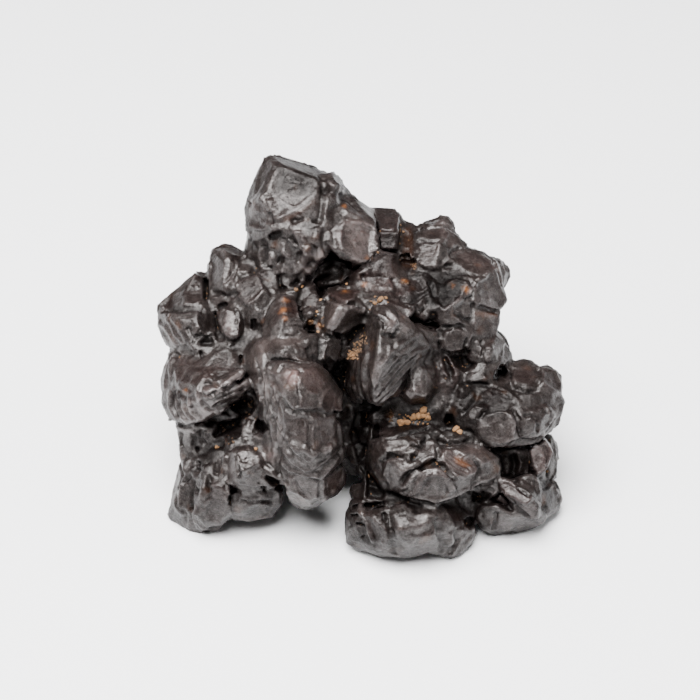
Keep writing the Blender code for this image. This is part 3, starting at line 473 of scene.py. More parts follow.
# Left crest.
hollow([(-29.5, 14.5), (-28.1, 14.2), (-28.1, 10.6), (-28.8, 9.2), (-29.4, 10.2)], 3, -0.8, 0.5)
hollow([(-27.4, 7.8), (-26.6, 7.6), (-26, 4), (-26.8, 3.2), (-27.2, 5)], 1.8, -0.7, 0.4)
facet([(-37.8, 9), (-36, 11.4), (-33, 13.8), (-30.4, 15.2), (-29.8, 14.4), (-31.2, 13), (-33.4, 10.8),
       (-34.8, 9.2), (-36.6, 8.6)], (-0.15, -0.1), -0.2, 0.4)
facet([(-33.2, 11), (-31.4, 12.6), (-29.8, 12.6), (-29.6, 9.8), (-31, 8.8), (-32.6, 8.8)], (0.1, 0.1), 0.05, 0.3)
facet([(-35.8, 7), (-35, 7.4), (-33.8, 6.8), (-34.6, 6.1), (-35.5, 6.3)], (0, 0.5), 0.4)
facet([(-33.3, 6.8), (-32.6, 6.2), (-32.9, 5.2), (-33.5, 5.8)], (0.2, 0.4), 0.3)
facet([(-31.2, 8), (-29, 8.6), (-27.4, 7), (-27.2, 4.6), (-28, 3.2), (-30, 3.4), (-31.2, 5.4)], (0.1, -0.1), -0.15)
facet([(-31, 1.6), (-29.4, 2.2), (-27.6, 1.6), (-27.2, 0), (-28.4, -1), (-30.6, -0.6)], (0, 0.2), 0.1)

# Left horn.
facet([(-28.2, 18.6), (-27, 19.6), (-26, 18.8), (-25, 18), (-24.6, 16.6), (-24.8, 15.4), (-26.2, 13.8),
       (-27.4, 12.4), (-28, 12.4), (-28.3, 16)], (-0.15, 0), 0)
facet([(-24, 17.8), (-23.2, 18), (-23, 16), (-23.6, 14.6), (-24.6, 13.4), (-26, 12.6), (-25.4, 13.8),
       (-24.2, 15.2)], (0.3, -0.2), -0.15, 0.2)
facet([(-22, 17.8), (-20.6, 17.6), (-20, 16.6), (-19.6, 16), (-20.4, 15.2), (-22, 15), (-22.4, 16.2)], (0, 0.3), 0.35)
facet([(-23.7, 13.8), (-22.4, 14.3), (-22.1, 13.2), (-23, 12.7)], (0, 0.4), 0.4)
facet([(-22, 14), (-20, 14.8), (-18, 15), (-17, 12.6), (-18.6, 10.4), (-20, 8.4), (-21.2, 9), (-22.8, 10.6),
       (-23.4, 12.4)], (0, -0.05), -0.1, 0.4)
facet([(-28.2, 9.8), (-27.2, 10.4), (-26, 10.6), (-24.6, 10), (-24.2, 9.4), (-25.6, 9.2), (-26.4, 8),
       (-27, 8), (-27.6, 9)], (0, 0.3), 0.2)
facet([(-24.2, 10.6), (-23, 11.4), (-22.8, 10), (-23.8, 9.4)], (0, 0.3), 0.25)
facet([(-16.8, 11.6), (-16, 9), (-16.8, 6.6), (-18.8, 7.6), (-19.6, 8.6), (-18, 10.6)], (0.2, -0.1), -0.2)
stain([(-20.8, 19.4), (-19, 19.4), (-18.6, 17.6), (-19.8, 16.8), (-20.8, 17.6)], -0.7)
facet([(-25.4, 6.6), (-24.8, 7.8), (-23.8, 8.1), (-23, 7.6), (-22.9, 5.4), (-23, 3.8), (-23.6, 2.6),
       (-24.5, 2.6), (-25.4, 4.4)], (0, 0.1), 0.7, 1.1, 0.6)
stain([(-26.4, 8.4), (-25.2, 8.8), (-25.6, 7), (-25.8, 4.6), (-26.5, 4.6)], -0.2, 0.9)
facet([(-22.7, 6.4), (-21, 6), (-20.4, 4.4), (-21.2, 2.8), (-22.4, 2.2), (-22.7, 4)], (0.1, 0), 0.1, 0.6)
hollow([(-20, 6.4), (-18.6, 6.4), (-18.2, 4.6), (-19, 3.5), (-20, 4.2)], 1.4, -0.6, 0.6)

# Strata at the left.
facet([(-37.7, -5.8), (-37.1, -2.6), (-36.2, -1), (-36.1, -2.6), (-36.9, -5.6)], (-0.2, 0), -0.2, 0.3)
calm([(-34.6, -1.6), (-30, -2.4), (-22.4, -3.6), (-27, -5.6), (-31, -7), (-34, -6.4)], 1.2)
stain([(-35, -1), (-28, -2.4), (-22.4, -0.4), (-22.4, -3.8), (-27, -5.8), (-31, -7), (-35, -6.6)], 0, 0.5)
hollow([(-22.3, -1), (-21.3, -1), (-21.3, -2.9), (-22.3, -2.6)], 1.6, -0.7, 0.4)
hollow([(-30.1, -0.2), (-29.3, -0.3), (-29.2, -1.8), (-30, -2.2)], 0.9, -0.5, 0.4)
hollow([(-21.7, -5.6), (-20.7, -4.6), (-19.8, -5.4), (-20.6, -6.1)], 1.4, -0.6, 0.4)
facet([(-35.6, -7.6), (-33, -7.6), (-31.4, -8.4), (-31.8, -9.8), (-33.6, -9.6), (-35.4, -10)], (0, -0.25), -0.35, 0.5)
facet([(-29.1, -9.6), (-28, -10.1), (-26.6, -9), (-25.9, -8.1), (-27, -7.9), (-28.7, -8.7)], (0, 0.4), 0.4)
facet([(-29.7, -7), (-28.6, -6.5), (-27.7, -7.4), (-28.4, -8.6), (-29.6, -8.4)], (0, 0.3), 0.3, 0.3)
facet([(-28.6, -10.4), (-26, -9.8), (-24, -8.8), (-22, -7.8), (-21, -8.6), (-23, -10), (-24.6, -11),
       (-25.6, -12.2), (-27.8, -12)], (0, 0), -0.05)
hollow([(-24.6, -11), (-22, -9.4), (-20.4, -8.6), (-19, -9.6), (-18.6, -11.4), (-19.6, -13), (-21.4, -14),
        (-22, -15.6), (-24.4, -16.8), (-27, -18), (-27.6, -17), (-26.6, -14.2), (-24, -13.8), (-22.4, -13.2)],
       2.6, -0.9, 0.8)
hollow([(-18.5, -13.7), (-17.2, -14.2), (-16.5, -15.5), (-17.3, -16.9), (-18.6, -16.2), (-18.9, -14.8)], 3, -1, 0.4)
stain([(-21, -13.4), (-19.4, -12.2), (-18.4, -13.4), (-19, -15), (-19.2, -17), (-20.4, -16.4), (-20.4, -14)], -0.1, 1)
facet([(-29.2, -15.8), (-28.6, -15.8), (-28.2, -17.4), (-28.9, -18)], (0, 0.2), 0.3)
facet([(-27.3, -14.6), (-26.7, -14.5), (-26.6, -16.8), (-27.2, -16.8)], (0, 0.3), 0.4)

# Left foot.
facet([(-34.4, -22.6), (-33.4, -21.6), (-33, -23.6), (-33.4, -26.2), (-34.2, -28.6), (-35, -31), (-35.7, -31)],
      (-0.15, 0), -0.15, 0.4)
facet([(-33.6, -27.4), (-32.6, -26.4), (-31.4, -28), (-31.4, -30), (-32, -32.4), (-33.6, -31.6)], (0.1, 0), 0)
facet([(-36.4, -33), (-35, -32), (-33, -33), (-32.4, -34.8), (-34, -34.8), (-36.2, -34)], (0, -0.1), -0.1, 0.3)
facet([(-28.4, -26), (-26.6, -25.8), (-25, -26.6), (-24.4, -28.6), (-24.6, -31), (-25, -33), (-25.4, -35),
       (-27, -35.4), (-28.4, -34), (-29, -32), (-28.2, -30), (-28, -28)], (0.05, -0.05), 0, 0.8, 0.6)
facet([(-31, -25), (-30, -24.7), (-29.7, -26), (-30.8, -26.2)], (0, 0.3), 0.3)
hollow([(-31.2, -19.4), (-29.8, -19), (-29.6, -20), (-30.6, -20.8)], 1.2, -0.7, 0.5)
hollow([(-24.3, -26.9), (-22.8, -27.3), (-22.5, -28.4), (-23.8, -28.8)], 2.2, -0.9, 0.4)
hollow([(-24.5, -28.9), (-23.6, -28.9), (-23.7, -31.2), (-24.4, -31.2)], 1.8, -0.9, 0.3)
hollow([(-17.2, -24.8), (-16.2, -25), (-14, -25.8), (-13.8, -27.2), (-15.4, -27.2), (-17, -25.8)], 2, -0.8, 0.5)
hollow([(-18.2, -27), (-17, -27), (-16.6, -28.6), (-17.6, -28.2)], 1.6, -0.7, 0.4)
facet([(-24.6, -20), (-23.2, -20.4), (-22.9, -22), (-22.6, -24), (-22, -25.6), (-21.4, -26.6), (-22.8, -26.6),
       (-25, -26), (-25.2, -24), (-25.4, -23)], (-0.2, 0.1), 0.25)
facet([(-22.6, -20.4), (-21.4, -19.9), (-19.6, -20.4), (-18.2, -20.8), (-18, -22.4), (-19.4, -23.8),
       (-20.6, -24.6), (-21.6, -25.6), (-22.2, -24.6), (-22.6, -22)], (0.05, 0.25), 0.45)
facet([(-17.8, -21.4), (-16.4, -20.2), (-15, -19.8), (-14.5, -21), (-15, -22.7), (-16.6, -22.7)], (0, 0.15), 0.3, 0.6)
facet([(-21.6, -25.9), (-20, -25), (-18, -23), (-17.3, -23.4), (-17.5, -25.4), (-17.8, -26.8), (-19, -27.2),
       (-20.4, -26.8)], (0, -0.1), 0.1)
facet([(-22.4, -27), (-19, -27.6), (-17.2, -28.8), (-18, -30), (-20.4, -30.2), (-21.6, -29.4)], (0, 0), 0.1)
facet([(-22.8, -30.6), (-21.4, -30.8), (-20.3, -30.6), (-20.8, -31.8), (-22.2, -33.1), (-22.8, -31.8)], (0, 0.35), 0.5)
facet([(-20, -30.8), (-17.6, -30.6), (-15.8, -31), (-14.4, -31), (-15.6, -32.8), (-18, -33.6), (-21.4, -33.6),
       (-22.2, -33)], (0, -0.05), 0.05)

# Front lobe.
calm([(-12, -13.4), (-6, -12.8), (-2.4, -16), (-3, -18.6), (-7.6, -21.4), (-12, -17.4)], 1)
calm([(-12.6, -25), (-5.6, -25.6), (-1.6, -23), (-1.4, -26), (-6, -30), (-11, -29.4), (-12.8, -28)], 1)
calm([(-9.8, -3.6), (-5, -4.8), (-1.8, -9.6), (-1.6, -12), (-9.8, -12), (-10.4, -8)], 1)
facet([(-20.6, -2), (-19.6, 1), (-18, 1.4), (-17, -1), (-17.2, -4), (-19, -5), (-20.4, -4)], (-0.1, 0), 0.15)
facet([(-14, 2.8), (-12.6, 2.8), (-11.4, 1.6), (-11.6, 0.4), (-14.2, 0.5)], (0, 0.4), 0.4)
facet([(-11.2, 2.2), (-10, 1.6), (-9.6, 0), (-10.6, -1), (-11.2, 0.4)], (0.2, 0.1), 0.1)
hollow([(-16.9, -2.4), (-15.6, -1.2), (-13.2, -1.4), (-10, -2), (-6.6, -2.4), (-7, -3), (-10, -2.9), (-13, -2.5),
        (-15.6, -2.4)], 0.8, -0.5, 0.5)
facet([(-16.2, -3), (-14.4, -2.5), (-13, -2.7), (-14, -4), (-15, -5.7), (-16.2, -5)], (-0.1, 0.25), 0.3)
facet([(-13.8, -5), (-11.6, -3.6), (-10, -4), (-9.8, -6), (-10.6, -7.8), (-12.4, -6.8)], (0, 0.1), 1, 1.2, 0.6)
facet([(-9.6, -3.6), (-7, -3.2), (-5, -4.8), (-4.6, -7.4), (-6.6, -9.4), (-9.6, -8)], (0, 0), 0, 0.8, 0.8)
facet([(-4, -6.8), (-1.9, -9.6), (-1.5, -12), (-4, -12.2), (-6.4, -11.8), (-6, -9.6)], (0.15, -0.1), -0.1, 0.6)
facet([(-9.9, -8.8), (-7, -10), (-6.8, -12), (-9.8, -12), (-10.6, -10.6)], (0, -0.1), 0, 0.5)
facet([(-12, -13.6), (-9.6, -13.2), (-8, -15), (-8.6, -18.4), (-10.4, -19), (-12, -17)], (-0.1, 0), 0.05, 0.4)
facet([(-8.6, -13.2), (-6, -13), (-3.6, -14), (-2.6, -16), (-3.2, -18.4), (-5.4, -20.2), (-7.4, -20.8),
       (-8.2, -18.4), (-7.6, -15)], (0.1, -0.05), -0.05, 0.4)
facet([(-12.4, -25.2), (-9, -25.6), (-6, -25.8), (-6, -29.6), (-8, -30.4), (-11, -29.4), (-12.6, -28)],
      (-0.05, 0), 0.1, 0.6)
facet([(-5.6, -25.8), (-1.8, -23.2), (-1.4, -26), (-2.4, -28), (-5.6, -29.6)], (0.1, -0.1), -0.1, 0.5)
facet([(-13.3, -28.1), (-11.6, -28.7), (-9, -30), (-7.4, -30.6), (-6.2, -30.2), (-7.8, -31.3), (-9.8, -31.6),
       (-12, -30.5)], (0, 0.3), 0.6)

# Middle.
facet([(-13.6, 10.6), (-12, 11), (-10.6, 8.6), (-10, 6.6), (-12, 5.8), (-13, 8)], (0.1, 0), -0.15, 0.9)
facet([(-14, 10), (-13.4, 8), (-12.6, 5.8), (-15, 5.4), (-16, 7)], (-0.1, 0), -0.1, 0.6)
facet([(-12, 5), (-9.4, 5.2), (-8.8, 4.2), (-10, 3.2), (-12, 3.6)], (0, 0.2), 0.15)
hollow([(-8.5, 4.8), (-7, 5.2), (-6.8, 3.2), (-8.6, 3)], 1.8, -0.8, 0.5)
hollow([(-10.2, 10), (-9.7, 8.4), (-9.4, 6.2), (-8.8, 5.6), (-9.8, 5.8), (-10.4, 8)], 0.9, -0.6, 0.3)
hollow([(-6.4, 12.4), (-5, 12.2), (-5.6, 10.4), (-6.4, 10)], 1.4, -0.7, 0.4)
facet([(-5.7, 10), (-3.8, 9.9), (-2.2, 9), (-1.8, 8.4), (-3.4, 5.4), (-4.6, 3.9), (-5.5, 4.6), (-5.9, 7)],
      (-0.35, 0.15), 0.05)
facet([(-1, 8.8), (0.2, 8.8), (2.8, 7.2), (4, 6.4), (2.8, 5.6), (0, 4.6), (-2, 3.4), (-4, 3.4), (-2.4, 6)],
      (0.15, -0.25), -0.1)
facet([(-5, 11.4), (-2, 12.4), (0, 13), (2, 12), (1, 9.6), (-1.4, 9.6), (-3.6, 10.1)], (0, 0.1), -0.05, 0.8)
facet([(2, 15), (6, 15.4), (9.4, 13.6), (8, 11.4), (5, 11), (2.4, 12.2)], (0, 0.1), 0.1, 0.9)
facet([(9.6, 13.6), (14, 14.6), (15.4, 12.6), (14, 11.4), (10, 10.4), (8.4, 11.4)], (0.1, 0), 0, 0.7)
facet([(5.6, 10.6), (9.6, 10.2), (12.6, 9), (12, 7.2), (8.4, 8.6), (6.2, 9.2)], (0, -0.2), -0.1, 0.5)
facet([(12.4, 5.6), (13.6, 7.8), (14.6, 9.8), (15.6, 10.2), (16.4, 8.8), (15, 7), (13.6, 5.4)], (0.1, 0.15), 0.2)
facet([(12.8, 8.4), (14, 10.8), (15.4, 11), (14.6, 9.6), (13.4, 7.9)], (0, -0.3), -0.3, 0.6)
hollow([(-1.2, 3.2), (1, 4.8), (3.2, 5.2), (3.4, 3.8), (1.6, 2.6), (0.4, 1.2), (-0.8, 0.4), (-1, 1.6)], 1.4, -0.7, 0.6)
facet([(-5.5, 2.4), (-3, 2.8), (-1.2, 2.4), (-1.2, 0.2), (-1.8, -1.4), (-3, -2.8), (-4, -2), (-5, 0)],
      (0.05, -0.1), -0.15)
facet([(-9, 2.4), (-7, 2.8), (-6.1, 2), (-5.8, 0), (-6.2, -1.8), (-7.8, -2), (-9, -0.6)], (0, -0.05), -0.2)
hollow([(-3, -3), (-1.2, -1.6), (0.4, -2.4), (0.6, -5), (-0.4, -8), (-1.2, -9.4), (-2.8, -7), (-4, -4.6)],
       1.6, -0.7, 0.7)

# Shell.
facet([(4.4, 8.3), (6, 8.7), (7.2, 8.3), (6.4, 7), (5.4, 6.6), (4.6, 7)], (-0.1, 0.2), 0.1)
facet([(7.2, 8), (8.6, 7), (9.4, 5.6), (9, 4.2), (8, 3.5), (6.6, 3.5), (6.2, 4), (7.2, 4.6), (7.3, 6.4), (6.8, 7.2)],
      (0, 0.45), 0.5)
facet([(4.4, 6), (6, 6.4), (6.9, 5.4), (6, 4), (4.4, 4)], (0, -0.3), -0.25)
facet([(10.2, 6.7), (10.8, 6.5), (11, 5.6), (10.4, 5.3)], (0, 0.4), 0.4)
facet([(10.5, 4.7), (11.2, 4.7), (12, 3.5), (12.8, 3.2), (11.4, 2.9), (10.5, 3.6)], (0, 0.4), 0.4)
facet([(6.3, 1.8), (7.9, 1.2), (7.4, -0.6), (6.8, -2), (6.3, -0.6)], (0.1, 0.3), 0.35)
facet([(5.2, -1.8), (6.5, -2.4), (6.3, -5), (5, -8), (4.4, -8.4), (4.6, -4.6)], (-0.15, 0.15), 0.3)
facet([(8.6, 2.8), (13.6, 2.6), (16, 0.8), (12, -1.4), (9, -1)], (0.2, 0.2), 0)
hollow([(10.2, -5.4), (12.4, -2.8), (12.2, -5), (11.6, -8), (10.4, -9.4), (9.6, -7.4)], 1.2, -0.7, 0.5)
facet([(12.5, -3.6), (13.4, -4), (13, -6.4), (13.5, -8.6), (12.4, -8.8), (12, -6)], (-0.2, 0.2), 0.3)
facet([(13.6, -4.6), (15, -3.4), (16.4, -5), (16.6, -8), (14.4, -9.4), (13.8, -8)], (0.1, -0.05), -0.05)
stain([(16.4, -0.6), (19, -0.6), (21.4, -2.4), (22.4, -6), (21.4, -8.4), (18.4, -9), (16.6, -6)], -0.15, 1.0)
facet([(18.2, -5.6), (19, -7), (20, -8), (21.2, -7.8), (20.2, -6), (18.8, -4.8)], (-0.1, 0.2), 0.1, 0.6)
facet([(17, -9.6), (18.4, -8.8), (19.1, -10), (18.4, -12.4), (17.6, -12.8), (16.8, -11)], (-0.1, 0.2), 0.35)

# Right blocks.
facet([(13.4, 24.2), (16, 25.8), (18, 26.4), (18.4, 25.6), (17, 24.8), (14.6, 24.1)], (-0.1, 0), -0.2, 0.3)
facet([(13.4, 23.6), (15, 24), (18.8, 24.5), (19.7, 23.6), (18, 22.4), (15, 22), (13.4, 22.4)], (0, -0.1), -0.05, 0.4)
facet([(13, 18.6), (13.8, 20.4), (15.6, 21.4), (17.8, 21.2), (17.3, 18.6), (16.5, 16.4), (15, 15.9), (14, 17)],
      (-0.1, 0.2), 0.25, 0.3)
facet([(20, 23), (21.4, 22.2), (21.6, 21), (20.5, 20.3), (19.8, 21.4)], (0.1, 0.3), 0.3)
facet([(18.5, 20.8), (19.6, 20.6), (19.8, 18.8), (18.6, 17), (17.6, 17), (18, 19.4)], (0.2, -0.2), -0.15)
facet([(21, 19.6), (24, 19.9), (27, 19), (28.5, 17.8), (28.4, 16.6), (26.6, 15), (24, 15), (22, 15.9),
       (20.6, 16.6), (21, 18)], (0, 0.05), 0, 0.3)
facet([(18.7, 13), (19.4, 13.6), (21.4, 14.3), (23.6, 13.6), (24.2, 12.6), (23, 11), (21.6, 10.2), (20, 8.8),
       (18.4, 8.4), (17.4, 9.6), (17.3, 11.6)], (-0.1, -0.3), -0.35, 0.3)
facet([(28.4, 17.2), (29.5, 14.8), (30.5, 12), (31.1, 10.4), (30.8, 9), (29.6, 7.7), (27.4, 8.1), (25, 8.6),
       (24.4, 9.6), (24.5, 11), (25.4, 13.4), (27, 14.4), (27.9, 15.8)], (0, 0), 0, 0.2)
facet([(24.4, 8.4), (25.4, 7.8), (29.4, 7.1), (29.1, 3.6), (28, 2.5), (25.6, 2.3), (23.8, 3.2), (24.2, 5.8)],
      (0, 0.05), 0.05, 0.3)
facet([(21.4, 8.9), (22.8, 9.7), (24, 9.5), (24.4, 8.6), (24.2, 6.5), (23.2, 6.3), (22, 7.3)], (-0.1, 0.15), 0.15)
facet([(19, 6.8), (20.4, 7.3), (22, 6.7), (22.4, 5.6), (21.4, 5), (20, 4.8), (18.7, 5.1)], (0, 0.1), 0.1)
facet([(19, 3.9), (21.4, 4.3), (23.6, 3), (22.8, 0.1), (20.8, -0.3), (19, 0.3), (18.5, 1.8)], (0.05, -0.05), -0.05)
facet([(23.9, 0.8), (24.6, 1.9), (25.7, 1.9), (26.2, 0.8), (25.9, -1.2), (25, -2.1), (23.9, -1.3)], (0.05, 0), -0.1)
hollow([(16, 8), (17.2, 8), (17.8, 6.8), (17.4, 5), (16.4, 3.8), (15.2, 4.6), (14.4, 5.6), (15.4, 6.8)],
       1.5, -0.6, 0.6)
hollow([(17.5, 2.3), (18.1, 1.5), (18.1, 0), (17.4, 0.2), (17.3, 1.6)], 1.6, -0.8, 0.4)
hollow([(18.8, -0.4), (20.6, -0.9), (23.4, -0.9), (24, -2), (25.6, -2.6), (24.6, -3.6), (22.8, -4.6), (21, -3.6),
        (20, -1.8)], 1.6, -0.8, 0.6)
stain([(10, 16), (10.4, 24.6), (12.4, 24.8), (13, 22), (12.6, 18), (13.6, 16)], -0.1, 0.7, 0.05)
facet([(27, 1.4), (28.4, 2), (29, 0.8), (27.8, 0)], (-0.1, 0.2), 0.25)
facet([(27, -0.6), (28.2, -0.4), (28.2, -2.2), (27.2, -2.2)], (-0.1, 0.2), 0.25)
facet([(28.6, -0.2), (30, 0), (30.4, -2), (29, -2.4)], (0.1, 0), 0.05)

# Right arm.
facet([(22.6, -5.4), (24.6, -4.2), (25.8, -3.4), (27, -5), (27.8, -6.3), (25.4, -6.1), (23, -6.4)], (-0.05, 0.2), 0.25)
facet([(26.6, -3), (27.8, -2.4), (29.2, -2.4), (29, -4), (28.2, -4.5), (27, -3.9)], (-0.1, 0.25), 0.3)
hollow([(29.1, -4.2), (30.4, -2.5), (31.8, -4.4), (31.7, -6), (29.6, -5.2)], 1.8, -0.8, 0.5)
facet([(22, -9.8), (24.6, -8.2), (25.4, -9), (23.2, -11.4), (22, -11.4)], (-0.1, -0.1), -0.25)
facet([(26, -9), (28.4, -7.6), (31, -8.4), (33, -10.6), (32, -11.7), (28, -12), (26.6, -11)], (0, -0.15), -0.3, 0.8)
facet([(23.2, -13), (24.4, -11.4), (26.4, -11.1), (26.7, -12.8), (25, -14)], (0, 0.05), 0, 0.5)
facet([(21, -14), (24.8, -14.6), (24.6, -15.6), (22.6, -15.1), (21.2, -14.8)], (0, 0.2), 0.15)
facet([(25.4, -14.4), (27, -12.8), (30, -12.2), (32, -12.6), (33, -14.6), (33.2, -16.6), (33.4, -18), (31, -19),
       (28.2, -18.7), (25.8, -17), (25.2, -15.6)], (-0.05, 0.1), 0.2)
stain([(31.2, -12.8), (32.2, -12.8), (33.2, -15), (32.8, -17), (31.8, -16.8), (32.2, -14.8)], 0.35)
facet([(33.4, -9.2), (34.8, -9.5), (35.1, -11), (33.8, -11.5), (33, -10.4)], (0, 0.2), 0.3)
facet([(36, -8.6), (38.2, -8.4), (38.8, -10.6), (37.4, -12.2), (35.8, -10.8)], (0, -0.1), -0.15)
facet([(34.8, -14), (36, -13.4), (37.2, -14.4), (37, -16.4), (35.6, -17.2), (34.6, -16.4)], (-0.1, 0.05), 0.05)
facet([(38.2, -12.4), (40, -12.4), (40.6, -14.4), (38.6, -17.2), (37.4, -17.4), (38, -14.6)], (0.1, 0), 0, 0.3)
facet([(40.4, -10.6), (42.4, -10.8), (41.6, -12.6), (40.6, -12.2)], (0.05, 0.2), 0.25)
facet([(33, -3.6), (36.4, -3.4), (37.6, -5.6), (35.6, -7.4), (32.6, -6.4)], (0, 0.1), -0.05, 0.5)
facet([(38.4, -4), (41, -4.8), (42, -7.4), (40, -8.4), (38, -6.6)], (0.1, 0), -0.15, 0.5)
hollow([(19.2, -12.8), (20.6, -13), (20.6, -15.2), (19.4, -15.8), (18.6, -14.4)], 2.4, -0.9, 0.5)

# Lower lobe.
facet([(6, -18.6), (8, -18.2), (10, -18), (12, -19), (13.7, -20.2), (13.6, -21), (12, -21.2), (10.4, -20.4),
       (8.6, -20.6), (7, -20.9)], (0, 0.2), 0.3)
facet([(4.3, -21.4), (5.4, -21), (6, -22), (5.8, -23), (5, -23.2), (4.3, -22.4)], (-0.1, 0.25), 0.25)
facet([(8.6, -22.2), (10, -21.9), (12, -22.1), (13.4, -22.5), (13.7, -23.2), (12.4, -24), (11.2, -25), (10, -24.4),
       (9, -23.4)], (0.05, 0.25), 0.3)
facet([(7, -24), (8.4, -22.6), (9.6, -24.4), (10.6, -25.6), (9.8, -27), (8.4, -26.9), (6.8, -26)], (-0.15, 0), 0.1)
facet([(10.3, -28.5), (12.4, -28.2), (13, -26.4), (14, -25.1), (16, -24.3), (18, -24.1), (19.6, -24.9),
       (21, -26.6), (21.8, -27.4), (20, -28.5), (18, -29.6), (17, -30), (14, -29.2), (12, -28.8)], (0, 0), 0, 0.5)
facet([(16, -24.1), (17.8, -23.9), (17.2, -25.1), (16.7, -25.1)], (0, 0.4), 0.45)
facet([(10.5, -28), (11.4, -26.8), (12.4, -25.8), (13.1, -25.8), (12.6, -27.1)], (-0.1, 0.4), 0.4)
facet([(14, -20), (14.9, -18.8), (16, -17.9), (16.9, -18.6), (17.1, -20.6), (17.4, -22), (16, -21.4),
       (14.6, -21.9), (13.9, -21.6)], (0, 0.1), 0.15)
facet([(12, -17.4), (13.6, -16.9), (15, -17), (14.2, -18.8), (13.1, -18.9)], (0, 0.1), 0.1)
facet([(18, -21.4), (18.8, -19.9), (20.4, -19.8), (21.6, -20.6), (23, -21.2), (25, -22.4), (25.7, -24),
       (25, -25.3), (23, -25.9), (21.6, -25.5), (20, -24), (18.6, -22.6)], (0, 0.1), 0.35, 0.6)
stain([(18.4, -20), (20.6, -19.8), (20, -21), (18.6, -21.2)], 0.2)
stain([(21, -21), (22, -20.9), (23.4, -21.8), (24.5, -23.2), (23, -23.3), (21.4, -22.3)], -0.45, 1.2, 0.25, 0.3)
facet([(21, -20), (23, -19.4), (25, -18.9), (26.2, -19.6), (26.6, -20.6), (25, -21), (23.4, -20.8)], (0, 0.2), 0.25, 0.3)
facet([(25.2, -21.6), (27, -21.3), (28.6, -21.2), (28.8, -22), (27.4, -22.8), (26, -23.3)], (0.1, 0.25), 0.3)
facet([(26.4, -23.7), (28.4, -22.9), (29.7, -23), (29.9, -24.2), (28, -25.2), (26, -25.1)], (0.1, 0), 0)
hollow([(26, -17.8), (27, -18.4), (28.4, -20), (28, -20.6), (26.8, -19.6)], 1.2, -0.6, 0.4)
hollow([(1, -12), (4.6, -12), (4.6, -15), (4, -18), (3.8, -22), (5.4, -25), (6.6, -28), (3.4, -27), (1.2, -23),
        (-0.4, -17)], 1, -0.5, 0.8)

# Front foot.
hollow([(2.2, -30.8), (7, -30.4), (7.3, -31.8), (2.4, -32)], 1.6, -0.9, 0.4)
hollow([(0.2, -30.8), (1.8, -30.7), (1.7, -31.7), (0.4, -31.9)], 1.2, -0.9, 0.3)
hollow([(-0.1, -32.8), (1.7, -32.5), (1.9, -33.2), (0.4, -33.5)], 1.2, -0.9, 0.3)
hollow([(0.6, -34.5), (3.1, -34.7), (3.3, -35.3), (1.2, -35.3)], 1.2, -0.9, 0.3)
hollow([(1.9, -37.4), (3.3, -36.5), (3.1, -37.4), (2.2, -37.8)], 0.7, -0.5, 0.3)
hollow([(6, -32.5), (7.1, -32.4), (7.3, -34.9), (6.2, -34.2)], 1, -0.8, 0.3)
facet([(2.8, -32.6), (5.8, -32.5), (6.1, -34.6), (7.8, -36), (8.2, -38), (7, -40.2), (4.6, -40), (4.4, -37.8),
       (3.7, -35)], (0, -0.05), 0.05, 0.6)
facet([(-0.6, -37.6), (2, -38.2), (4.4, -38.6), (4.4, -40.2), (2, -40), (0, -39)], (-0.05, 0), 0.05, 0.4)
hollow([(11.6, -29.8), (14.6, -30.8), (14.5, -32.8), (13, -33.1), (12.4, -31.8), (10, -31), (8.8, -31.2)],
       0.9, -0.6, 0.5)
facet([(8.7, -30.5), (10, -30.1), (11.5, -30.5), (11.4, -31.5), (9.2, -31.4)], (0, 0), -0.2)
facet([(11.6, -33.2), (13.2, -33.4), (14.6, -33), (14.4, -34.6), (13.2, -35.6), (12.4, -35.2)], (0, 0.1), 0.15, 0.3)
facet([(12.7, -37.4), (15, -36.4), (16.5, -36.8), (16.4, -38.6), (14.6, -39.8), (12.9, -39.5)], (0, -0.1), 0, 0.2)
facet([(17, -36.3), (18, -36), (17.9, -37.6), (17, -38)], (-0.1, 0.2), 0.35)
facet([(18.4, -36), (20, -36.4), (20.3, -38), (19.3, -39.1), (17.6, -39.4), (17.6, -38.2)], (0.05, -0.05), 0)
facet([(21.2, -36), (22.4, -35.6), (24.6, -36.4), (24, -38.4), (22, -40.6), (20, -41.3), (18.8, -40.9), (20.4, -39.8),
       (21, -38)], (0.1, 0), 0.1)
stain([(18.4, -31), (21, -31.2), (22.8, -33.4), (22, -35), (20.6, -34), (19, -32.6)], -0.3, 1.0)
hollow([(22.4, -33.8), (23.4, -33.1), (24.7, -33.6), (24.9, -35), (24, -35.9), (22.8, -35.3)], 2.4, -1, 0.4)

# Right foot.
hollow([(29.3, -21), (31, -20.4), (34, -20.4), (35.8, -21), (35.6, -24), (34, -25.4), (31.6, -25.5), (30.3, -24.4)],
       1.8, -0.8, 0.7)
facet([(37, -21.6), (38.2, -18.6), (39.4, -17.2), (39.8, -20), (39.2, -24), (38, -25.4)], (-0.1, 0), -0.05, 0.4)
facet([(39.8, -17.6), (41, -18.8), (41.4, -21), (41, -24), (40, -25.4), (39.6, -22)], (0.1, 0), -0.1, 0.3)
facet([(29.9, -26.1), (31.6, -26.2), (34.6, -28.2), (36.6, -30), (35.4, -31.6), (33.8, -30.6), (31, -28.6)],
      (0, 0.15), 0.05, 1.0)
facet([(30, -27.4), (31, -29), (34, -31.6), (36, -33.2), (37.5, -33.4), (37.9, -32), (36.8, -30.4), (35, -31.4),
       (32, -29)], (0, -0.1), 0, 1.0)
facet([(33.2, -26.4), (34.4, -25.7), (36, -25.5), (37, -27), (37.3, -29.2), (36, -28.7), (34, -27.3)], (0.05, 0.05), 0)
hollow([(29.2, -28.8), (30.4, -29.2), (33.4, -32), (32.4, -32.8), (30, -31.6), (28.8, -30.4)], 1.2, -0.6, 0.5)
facet([(25.5, -32.2), (27.4, -31.4), (29, -32), (29, -34), (28.4, -36.2), (26.6, -35.4)], (-0.1, 0.1), 0.1)
